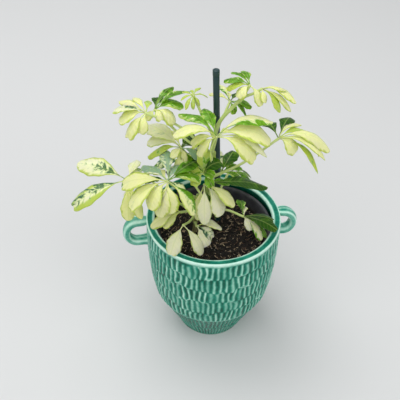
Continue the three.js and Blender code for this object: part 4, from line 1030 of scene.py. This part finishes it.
# A flat block becomes a blade: u runs from the hub to the tip, v across and w through it
marked = node(t, "GeometryNodeMeshCube", {
    "Size": (1, 1, 1), "Vertices X": size["Steps Along"], "Vertices Y": size["Steps Across"],
    "Vertices Z": 2})
x, y, z = node(t, "ShaderNodeSeparateXYZ", {0: node(t, "GeometryNodeInputPosition")}).outputs
left_over = node(t, "ShaderNodeMath", {0: 0.5, 1: x}, operation="SUBTRACT")
left_power = node(t, "ShaderNodeMath", {0: left_over, 1: 1.75}, operation="POWER")
u_value = node(t, "ShaderNodeMath", {0: 1.0, 1: left_power}, operation="SUBTRACT")
v_value = node(t, "ShaderNodeMath", {0: y, 1: 2.0}, operation="MULTIPLY")
w_value = node(t, "ShaderNodeMath", {0: z, 1: 0.5}, operation="ADD")
for name, value in (("blade_u", u_value), ("blade_v", v_value), ("blade_w", w_value)):
    marked = node(t, "GeometryNodeStoreNamedAttribute", {"Geometry": marked, "Name": name, "Value": value},
                  data_type="FLOAT", domain="POINT")
blades = node(t, "GeometryNodeInstanceOnPoints", {"Points": sorted_parts.outputs["Selection"],
                                                  "Instance": marked})
blade_mesh = node(t, "GeometryNodeRealizeInstances", {"Geometry": blades})
share = {}
for name in ("blade_u", "blade_v", "blade_w", "blade_length", "blade_width", "arch", "phase", "notch",
             "twist", "sweep", "droop", "roll", "point"):
    share[name] = node(t, "GeometryNodeInputNamedAttribute", {"Name": name}, data_type="FLOAT").outputs[0]
line = {}
for name in ("hub", "along", "side", "face", "bow"):
    line[name] = node(t, "GeometryNodeInputNamedAttribute", {"Name": name},
                      data_type="FLOAT_VECTOR").outputs[0]
u, v, w = share["blade_u"], share["blade_v"], share["blade_w"]
length, width = share["blade_length"], share["blade_width"]
off_middle = node(t, "ShaderNodeMath", {0: v}, operation="ABSOLUTE")
v_square = node(t, "ShaderNodeMath", {0: v, 1: v}, operation="MULTIPLY")
v_side = node(t, "ShaderNodeMath", {0: v}, operation="SIGN")
u_left = node(t, "ShaderNodeMath", {0: 1.0, 1: u}, operation="SUBTRACT")
# Half width: a thin stalk, then a swell that is drawn out towards the stalk and blunt at the tip
past_stalk = node(t, "ShaderNodeMapRange", {"Value": u, "From Min": size["Stalk Share"],
                                            "From Max": 1.0}).outputs[0]
warped = node(t, "ShaderNodeMath", {0: past_stalk, 1: 1.5}, operation="POWER")
half_turn = node(t, "ShaderNodeMath", {0: warped, 1: math.pi}, operation="MULTIPLY")
swell = node(t, "ShaderNodeMath", {0: half_turn}, operation="SINE")
swell_above = node(t, "ShaderNodeMath", {0: swell, 1: 0.0001}, operation="MAXIMUM")
bluntness = node(t, "ShaderNodeMapRange", {"Value": past_stalk, "To Min": 1.0,
                                           "To Max": share["point"]}).outputs[0]
outline = node(t, "ShaderNodeMath", {0: swell_above, 1: bluntness}, operation="POWER")
scallop_turn = node(t, "ShaderNodeMath", {0: u, 1: 29.0, 2: share["phase"]}, operation="MULTIPLY_ADD")
scallop_side = node(t, "ShaderNodeMath", {0: v_side, 1: 1.3, 2: scallop_turn}, operation="MULTIPLY_ADD")
scallop_wave = node(t, "ShaderNodeMath", {0: scallop_side}, operation="SINE")
scallop = node(t, "ShaderNodeMath", {0: scallop_wave, 1: 0.022, 2: 0.5}, operation="MULTIPLY_ADD")
swollen = node(t, "ShaderNodeMath", {0: outline, 1: scallop}, operation="MULTIPLY")
blade_half = node(t, "ShaderNodeMath", {0: swollen, 1: width}, operation="MULTIPLY")
half = node(t, "ShaderNodeMath", {0: blade_half, 1: size["Stalk Half Width"]}, operation="MAXIMUM")
aside = node(t, "ShaderNodeMath", {0: half, 1: v}, operation="MULTIPLY")
aside_size = node(t, "ShaderNodeMath", {0: aside}, operation="ABSOLUTE")
# Place along the midrib, drawn back at the tip for a notch
reach = node(t, "ShaderNodeMath", {0: u, 1: length}, operation="MULTIPLY")
notch_half = node(t, "ShaderNodeMath", {0: width, 1: 0.2}, operation="MULTIPLY")
notch_shape = bell(t, aside, notch_half)
near_tip = node(t, "ShaderNodeMapRange", {"Value": u, "From Min": 0.7, "From Max": 1.0},
                interpolation_type="SMOOTHSTEP").outputs[0]
notch_here = node(t, "ShaderNodeMath", {0: notch_shape, 1: near_tip}, operation="MULTIPLY")
notch_depth = node(t, "ShaderNodeMath", {0: notch_here, 1: share["notch"]}, operation="MULTIPLY")
drawn_back = node(t, "ShaderNodeMath", {0: notch_depth, 1: length}, operation="MULTIPLY")
forward = node(t, "ShaderNodeMath", {0: reach, 1: drawn_back}, operation="SUBTRACT")
# Bow of the midrib, its droop at the tip and its sideways sweep
hump = node(t, "ShaderNodeMath", {0: u, 1: u_left}, operation="MULTIPLY")
hump_length = node(t, "ShaderNodeMath", {0: hump, 1: length}, operation="MULTIPLY")
hump_four = node(t, "ShaderNodeMath", {0: hump_length, 1: 4.0}, operation="MULTIPLY")
bowed = node(t, "ShaderNodeMath", {0: hump_four, 1: share["arch"]}, operation="MULTIPLY")
u_cube = node(t, "ShaderNodeMath", {0: u, 1: 3.0}, operation="POWER")
tip_drop = node(t, "ShaderNodeMath", {0: u_cube, 1: share["droop"]}, operation="MULTIPLY")
tip_drop_length = node(t, "ShaderNodeMath", {0: tip_drop, 1: length}, operation="MULTIPLY")
bow_rise = node(t, "ShaderNodeMath", {0: bowed, 1: tip_drop_length}, operation="SUBTRACT")
swept = node(t, "ShaderNodeMath", {0: hump_four, 1: share["sweep"]}, operation="MULTIPLY")
# Height above the midrib: fold, waves of the margin, swelling between side veins, groove and keel
rolled = node(t, "ShaderNodeMath", {0: u, 1: share["roll"]}, operation="MULTIPLY")
fold_rate = node(t, "ShaderNodeMath", {0: 0.4, 1: rolled}, operation="SUBTRACT")
fold_bend = node(t, "ShaderNodeMath", {0: off_middle, 1: 1.4}, operation="POWER")
fold_half = node(t, "ShaderNodeMath", {0: fold_rate, 1: half}, operation="MULTIPLY")
fold = node(t, "ShaderNodeMath", {0: fold_half, 1: fold_bend}, operation="MULTIPLY")
wave_turn = node(t, "ShaderNodeMath", {0: u, 1: 8.0, 2: share["phase"]}, operation="MULTIPLY_ADD")
wave_side = node(t, "ShaderNodeMath", {0: wave_turn, 1: v_side}, operation="ADD")
wave_sine = node(t, "ShaderNodeMath", {0: wave_side}, operation="SINE")
edge_share = node(t, "ShaderNodeMath", {0: off_middle, 1: 2.5}, operation="POWER")
wave_edge = node(t, "ShaderNodeMath", {0: wave_sine, 1: edge_share}, operation="MULTIPLY")
wave_half = node(t, "ShaderNodeMath", {0: wave_edge, 1: half}, operation="MULTIPLY")
folded = node(t, "ShaderNodeMath", {0: wave_half, 1: size["Margin Wave"], 2: fold},
              operation="MULTIPLY_ADD")
vein_place = node(t, "ShaderNodeMath", {0: aside_size, 1: -0.7, 2: reach}, operation="MULTIPLY_ADD")
vein_share = node(t, "ShaderNodeMath", {0: vein_place, 1: size["Vein Spacing"]}, operation="DIVIDE")
vein_turn = node(t, "ShaderNodeMath", {0: vein_share, 1: 2 * math.pi}, operation="MULTIPLY")
vein_wave = node(t, "ShaderNodeMath", {0: vein_turn}, operation="SINE")
from_midrib = node(t, "ShaderNodeMapRange", {"Value": off_middle, "From Max": 0.4},
                   interpolation_type="SMOOTHSTEP").outputs[0]
to_margin = node(t, "ShaderNodeMapRange", {"Value": off_middle, "From Min": 1.0, "From Max": 0.7},
                 interpolation_type="SMOOTHSTEP").outputs[0]
past_base = node(t, "ShaderNodeMapRange", {"Value": u, "From Min": 0.15, "From Max": 0.35},
                 interpolation_type="SMOOTHSTEP").outputs[0]
vein_part = node(t, "ShaderNodeMath", {0: vein_wave, 1: from_midrib}, operation="MULTIPLY")
vein_inner = node(t, "ShaderNodeMath", {0: vein_part, 1: to_margin}, operation="MULTIPLY")
vein_blade = node(t, "ShaderNodeMath", {0: vein_inner, 1: past_base}, operation="MULTIPLY")
vein_wide = node(t, "ShaderNodeMath", {0: vein_blade, 1: half}, operation="MULTIPLY")
quilted = node(t, "ShaderNodeMath", {0: vein_wide, 1: size["Vein Rise"], 2: folded},
               operation="MULTIPLY_ADD")
rib_shape = bell(t, aside, 0.0009)
rib_fade = node(t, "ShaderNodeMath", {0: rib_shape, 1: u_left}, operation="MULTIPLY")
rib_blade = node(t, "ShaderNodeMath", {0: rib_fade, 1: past_base}, operation="MULTIPLY")
upper_side = node(t, "ShaderNodeMath", {0: w, 1: 2.0, 2: -1.0}, operation="MULTIPLY_ADD")
rib_depth = node(t, "ShaderNodeMapRange", {"Value": w, "To Min": -0.0006, "To Max": -0.0004}).outputs[0]
ribbed = node(t, "ShaderNodeMath", {0: rib_blade, 1: rib_depth, 2: quilted}, operation="MULTIPLY_ADD")
# Thickness: a round stalk that flattens into the blade
round_part = node(t, "ShaderNodeMath", {0: v_square, 1: -0.9, 2: 1.0}, operation="MULTIPLY_ADD")
round_root = node(t, "ShaderNodeMath", {0: round_part}, operation="SQRT")
stalk_depth = node(t, "ShaderNodeMath", {0: round_root, 1: size["Stalk Half Depth"]}, operation="MULTIPLY")
is_blade_part = node(t, "ShaderNodeMapRange", {"Value": u, "From Min": 0.1, "From Max": 0.24},
                     interpolation_type="SMOOTHSTEP").outputs[0]
half_depth = node(t, "ShaderNodeMix", {0: is_blade_part, 2: stalk_depth,
                                       3: size["Blade Half Depth"]}).outputs[0]
surface = node(t, "ShaderNodeMath", {0: half_depth, 1: upper_side, 2: ribbed}, operation="MULTIPLY_ADD")
# Twist about the midrib, then the place in space
twist = node(t, "ShaderNodeMath", {0: share["twist"], 1: u}, operation="MULTIPLY")
twist_sine = node(t, "ShaderNodeMath", {0: twist}, operation="SINE")
twist_cosine = node(t, "ShaderNodeMath", {0: twist}, operation="COSINE")
aside_flat = node(t, "ShaderNodeMath", {0: aside, 1: twist_cosine, 2: swept}, operation="MULTIPLY_ADD")
aside_up = node(t, "ShaderNodeMath", {0: aside, 1: twist_sine}, operation="MULTIPLY")
face_rise = node(t, "ShaderNodeMath", {0: surface, 1: twist_cosine, 2: aside_up}, operation="MULTIPLY_ADD")
place = line["hub"]
for name, amount in (("along", forward), ("side", aside_flat), ("face", face_rise), ("bow", bow_rise)):
    shift = node(t, "ShaderNodeVectorMath", {0: line[name], "Scale": amount}, operation="SCALE")
    place = node(t, "ShaderNodeVectorMath", {0: place, 1: shift}, operation="ADD")
vein_mm = node(t, "ShaderNodeMath", {0: vein_place, 1: 1000.0}, operation="MULTIPLY")
across_mm = node(t, "ShaderNodeMath", {0: aside, 1: 1000.0}, operation="MULTIPLY")
measured = blade_mesh
for name, value in (("vein_mm", vein_mm), ("across_mm", across_mm)):
    measured = node(t, "GeometryNodeStoreNamedAttribute",
                    {"Geometry": measured, "Name": name, "Value": value}, data_type="FLOAT", domain="POINT")
shaped = node(t, "GeometryNodeSetPosition", {"Geometry": measured, "Position": place})
joined = node(t, "GeometryNodeJoinGeometry", {0: petiole})
t.links.new(shaped.outputs[0], joined.inputs[0])
smooth = node(t, "GeometryNodeSetShadeSmooth", {"Geometry": joined})
real = node(t, "GeometryNodeRealizeInstances", {"Geometry": smooth})
is_stalk = node(t, "FunctionNodeCompare", {0: is_leaflet, 1: 0.5}, data_type="FLOAT", operation="LESS_THAN")
bladed = node(t, "GeometryNodeSetMaterial", {"Geometry": real, "Material": size["Blade Material"]})
finished = node(t, "GeometryNodeSetMaterial", {"Geometry": bladed, "Selection": is_stalk,
                                               "Material": size["Stalk Material"]})
node(t, "NodeGroupOutput", {0: finished})

blade_skin, tree = new_material("variegated_leaf_blade")
# Living leaf under a thin wax skin: a soft sheen, light let through a little, green in patches
# that follow the side veins over cream, a paler midrib, a duller underside, and on grey-look leaflets
# a painted grey-blue reflection of the sky over the green
look = {}
for name in ("blade_u", "blade_v", "blade_w", "vein_mm", "across_mm", "green", "centre", "sided", "basal",
             "lime", "tone", "luck"):
    look[name] = node(tree, "ShaderNodeAttribute", attribute_name=name).outputs["Fac"]
off_middle = node(tree, "ShaderNodeMath", {0: look["blade_v"]}, operation="ABSOLUTE")
luck_place = node(tree, "ShaderNodeMath", {0: look["luck"], 1: 40.0}, operation="MULTIPLY")
streak_along = node(tree, "ShaderNodeMath", {0: look["vein_mm"], 1: 0.20}, operation="MULTIPLY")
streak_across = node(tree, "ShaderNodeMath", {0: look["across_mm"], 1: 0.12}, operation="MULTIPLY")
streak_place = node(tree, "ShaderNodeCombineXYZ", {0: streak_along, 1: streak_across, 2: luck_place})
streaks = node(tree, "ShaderNodeTexNoise", {"Vector": streak_place, "Scale": 1.0, "Detail": 3.0,
                                            "Roughness": 0.55})
streak_part = node(tree, "ShaderNodeMapRange", {"Value": streaks, "From Min": 0.3, "From Max": 0.7,
                                                "To Min": -0.6, "To Max": 0.6}).outputs[0]
fleck_along = node(tree, "ShaderNodeMath", {0: look["vein_mm"], 1: 1.1}, operation="MULTIPLY")
fleck_across = node(tree, "ShaderNodeMath", {0: look["across_mm"], 1: 0.35}, operation="MULTIPLY")
fleck_place = node(tree, "ShaderNodeCombineXYZ", {0: fleck_along, 1: fleck_across, 2: luck_place})
flecks = node(tree, "ShaderNodeTexNoise", {"Vector": fleck_place, "Scale": 1.0, "Detail": 2.0})
fleck_part = node(tree, "ShaderNodeMapRange", {"Value": flecks, "From Min": 0.3, "From Max": 0.7,
                                               "To Min": -0.14, "To Max": 0.14}).outputs[0]
middle_share = node(tree, "ShaderNodeMath", {0: off_middle, 1: -2.0, 2: 1.0}, operation="MULTIPLY_ADD")
middle_part = node(tree, "ShaderNodeMath", {0: middle_share, 1: look["centre"], 2: look["green"]},
                   operation="MULTIPLY_ADD")
sided_part = node(tree, "ShaderNodeMath", {0: look["blade_v"], 1: look["sided"], 2: middle_part},
                  operation="MULTIPLY_ADD")
stalk_share = node(tree, "ShaderNodeMath", {0: look["blade_u"], 1: -2.0, 2: 1.0}, operation="MULTIPLY_ADD")
basal_part = node(tree, "ShaderNodeMath", {0: stalk_share, 1: look["basal"], 2: sided_part},
                  operation="MULTIPLY_ADD")
rough_field = node(tree, "ShaderNodeMath", {0: basal_part, 1: streak_part}, operation="ADD")
field = node(tree, "ShaderNodeMath", {0: rough_field, 1: fleck_part}, operation="ADD")
is_green = node(tree, "ShaderNodeMapRange", {"Value": field, "From Min": -0.05, "From Max": 0.06},
                interpolation_type="SMOOTHSTEP").outputs[0]
is_halo = node(tree, "ShaderNodeMapRange", {"Value": field, "From Min": -0.42, "From Max": -0.02,
                                            "To Max": 0.6}, interpolation_type="SMOOTHSTEP").outputs[0]
cream = node(tree, "ShaderNodeMix", {0: look["tone"], 6: linear("#e5ea9a"), 7: linear("#e4e9c2")},
             data_type="RGBA").outputs[2]
lime_edge = node(tree, "ShaderNodeMath", {0: off_middle, 1: look["lime"]}, operation="ADD")
lime_field = node(tree, "ShaderNodeMath", {0: streak_part, 1: 0.25, 2: lime_edge}, operation="MULTIPLY_ADD")
is_lime = node(tree, "ShaderNodeMapRange", {"Value": lime_field, "From Min": 0.9, "From Max": 1.2,
                                            "To Max": 0.85}, interpolation_type="SMOOTHSTEP").outputs[0]
limed = node(tree, "ShaderNodeMix", {0: is_lime, 6: cream, 7: linear("#9ab330")},
             data_type="RGBA").outputs[2]
haloed = node(tree, "ShaderNodeMix", {0: is_halo, 6: limed, 7: linear("#92b080")},
              data_type="RGBA").outputs[2]
deep = node(tree, "ShaderNodeMapRange", {"Value": field, "From Min": 0.0, "From Max": 1.25}).outputs[0]
warm_green = node(tree, "ShaderNodeMix", {0: deep, 6: linear("#649c1b"), 7: linear("#1f4407")},
                  data_type="RGBA").outputs[2]
is_cool = node(tree, "ShaderNodeMapRange", {"Value": look["tone"], "From Min": 0.5,
                                            "From Max": 0.62}).outputs[0]
cool_green = node(tree, "ShaderNodeMix", {0: is_cool, 6: warm_green, 7: linear("#3a6049")},
                  data_type="RGBA").outputs[2]
# Painted reflection: on grey-look leaflets a grey-blue wash over the green stands in for the pale sky
# mirrored in the wax
is_painted_sky_sheen = node(tree, "ShaderNodeMapRange", {"Value": look["tone"], "From Min": 0.85,
                                            "From Max": 0.94}).outputs[0]
leaf_green = node(tree, "ShaderNodeMix", {0: is_painted_sky_sheen, 6: cool_green, 7: linear("#84a18b")},
                  data_type="RGBA").outputs[2]
patched = node(tree, "ShaderNodeMix", {0: is_green, 6: haloed, 7: leaf_green}, data_type="RGBA").outputs[2]
rib_shape = bell(tree, look["across_mm"], 0.55)
vein_share = node(tree, "ShaderNodeMath", {0: look["vein_mm"], 1: 2 * math.pi / 4.4}, operation="MULTIPLY")
vein_wave = node(tree, "ShaderNodeMath", {0: vein_share}, operation="SINE")
vein_line = node(tree, "ShaderNodeMapRange", {"Value": vein_wave, "From Min": -0.7, "From Max": -1.0,
                                              "To Max": 0.09}).outputs[0]
rib_amount = node(tree, "ShaderNodeMath", {0: rib_shape, 1: 0.3}, operation="MULTIPLY")
vein_amount = node(tree, "ShaderNodeMath", {0: rib_amount, 1: vein_line}, operation="MAXIMUM")
veined = node(tree, "ShaderNodeMix", {0: vein_amount, 6: patched, 7: linear("#b9cf76")},
              data_type="RGBA").outputs[2]
under_share = node(tree, "ShaderNodeMapRange", {"Value": look["blade_w"], "From Min": 0.4, "From Max": 0.1,
                                                "To Max": 0.4}).outputs[0]
sided_skin = node(tree, "ShaderNodeMix", {0: under_share, 6: veined, 7: linear("#c3cc9c")},
                  data_type="RGBA").outputs[2]
sheen_rough = node(tree, "ShaderNodeMapRange", {"Value": flecks, "To Min": 0.3, "To Max": 0.44}).outputs[0]
bump = node(tree, "ShaderNodeBump", {"Height": flecks, "Strength": 0.12, "Distance": 0.0005})
end_material(tree, {
    "Base Color": sided_skin, "Roughness": sheen_rough, "Normal": bump, "IOR": 1.45,
    "Specular IOR Level": 0.22, "Subsurface Weight": 0.7, "Subsurface Radius": (0.0024, 0.0028, 0.0010),
    "Subsurface Scale": 1.0})

stalk_skin, tree = new_material("leaf_stalk_skin")
# Young stalk: smooth, pale yellow-green and slightly glossy
spot = node(tree, "ShaderNodeTexCoord").outputs["Object"]
mottle = node(tree, "ShaderNodeTexNoise", {"Vector": spot, "Scale": 120.0, "Detail": 3.0})
tint = node(tree, "ShaderNodeMix", {0: mottle, 6: linear("#b2c95f"), 7: linear("#d9e5a2")},
            data_type="RGBA").outputs[2]
end_material(tree, {
    "Base Color": tint, "Roughness": 0.42, "IOR": 1.45, "Subsurface Weight": 0.12,
    "Subsurface Radius": (0.0015, 0.0018, 0.0006), "Subsurface Scale": 1.0})

STEM_LINES = {id(MAIN_STEM): smooth_path(MAIN_STEM, 200), id(SIDE_STEM): smooth_path(SIDE_STEM, 200)}
for number, (name, (stem_points, at, hub_place, arch, leaflets)) in enumerate(LEAVES.items()):
    chance = np.random.RandomState(LEAF_SEED + number)
    # The stalk, from the stem over a slightly sagging elbow to the hub and a little past it
    stem_line = STEM_LINES[id(stem_points)]
    foot = Vector([float(np.interp(at, stem_line[:, 2], stem_line[:, i])) for i in range(3)])
    hub = Vector(hub_place)
    elbow = foot.lerp(hub, 0.5) - Vector((0, 0, PETIOLE_SAG * math.hypot(hub.x - foot.x, hub.y - foot.y)))
    elbow += Vector(STALK_BENDS.get(name, (0, 0, 0)))
    stalk_line = [Vector(p) for p in smooth_path([foot, elbow, hub], 22)]
    stalk_line.append(hub + (hub - stalk_line[-2]).normalized() * HUB_PASS)
    shares = np.linspace(0, 1, len(stalk_line))
    girths = PETIOLE_RADIUS + (PETIOLE_FOOT_RADIUS - PETIOLE_RADIUS) * np.clip(1 - shares * 4, 0, 1)
    girths = girths + (HUB_RADIUS - PETIOLE_RADIUS) * np.clip((shares - 0.93) / 0.05, 0, 1) ** 2
    girths[-1] = HUB_TIP_RADIUS
    # One point at the hub for each leaflet, with its directions, sizes and look
    count = len(stalk_line)
    points = stalk_line + [hub] * len(leaflets)
    values = {key: np.zeros(len(points)) for key in (
        "is_blade", "girth", "blade_length", "blade_width", "arch", "phase", "notch", "twist", "sweep",
        "droop", "roll", "point", "green", "centre", "sided", "basal", "lime", "tone", "luck")}
    vectors = {key: np.zeros((len(points), 3)) for key in ("hub", "along", "side", "face", "bow")}
    values["girth"][:count] = girths * MM
    for row, (bearing, rise, length, width, look_name, *tilt) in enumerate(leaflets, count):
        turn, lift, lean = (math.radians(a) for a in (bearing, rise, tilt[0] if tilt else 0))
        along = Vector((math.cos(turn) * math.cos(lift), math.sin(turn) * math.cos(lift), math.sin(lift)))
        flat_side = Vector((-math.sin(turn), math.cos(turn), 0))
        bow = along.cross(flat_side)
        side = flat_side * math.cos(lean) + bow * math.sin(lean)
        for key, value in zip(vectors, (hub * MM, along, side, along.cross(side), bow)):
            vectors[key][row] = value
        green, centre, sided, basal, lime, tone = LOOKS[look_name]
        flip = 1 if look_name.endswith("half") else chance.choice([-1, 1])
        notch = chance.choice([0.0, 0.02, 0.045, 0.09], p=[0.35, 0.3, 0.22, 0.13]) if width > 10 else 0.0
        settings = {
            "is_blade": 1, "blade_length": length * MM, "blade_width": width * MM, "arch": arch,
            "phase": chance.uniform(0, 6.28), "notch": notch, "twist": chance.uniform(-0.3, 0.3),
            "sweep": chance.uniform(-0.06, 0.06), "droop": chance.uniform(0, 0.08),
            "roll": chance.uniform(0.75, 1.25), "point": min(0.8, max(0.36, 0.14 + 0.13 * length / width)),
            "green": green + chance.uniform(-0.08, 0.08), "centre": centre, "sided": sided * flip,
            "basal": basal, "lime": lime, "tone": min(1, max(0, tone + chance.uniform(-0.05, 0.05))),
            "luck": chance.uniform(0, 1)}
        for key, value in settings.items():
            values[key][row] = value
    start_mesh = bpy.data.meshes.new(name)
    start_mesh.from_pydata([tuple(p * MM) for p in points], [(i, i + 1) for i in range(count - 1)], [])
    for key, value in values.items():
        start_mesh.attributes.new(key, "FLOAT", "POINT").data.foreach_set("value", value)
    for key, value in vectors.items():
        start_mesh.attributes.new(key, "FLOAT_VECTOR", "POINT").data.foreach_set("vector", value.ravel())
    leaf = grow(name + "_grown", start_mesh, [(leaf_tree, {
        "Steps Along": BLADE_STEPS[0], "Steps Across": BLADE_STEPS[1], "Stalk Share": 0.12,
        "Stalk Half Width": 0.00055, "Stalk Half Depth": 0.0006, "Blade Half Depth": 0.00022,
        "Vein Spacing": 0.0044, "Vein Rise": 0.028, "Margin Wave": 0.09, "Petiole Sides": 12,
        "Blade Material": blade_skin, "Stalk Material": stalk_skin})])
    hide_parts(name)
    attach(leaf, "root")
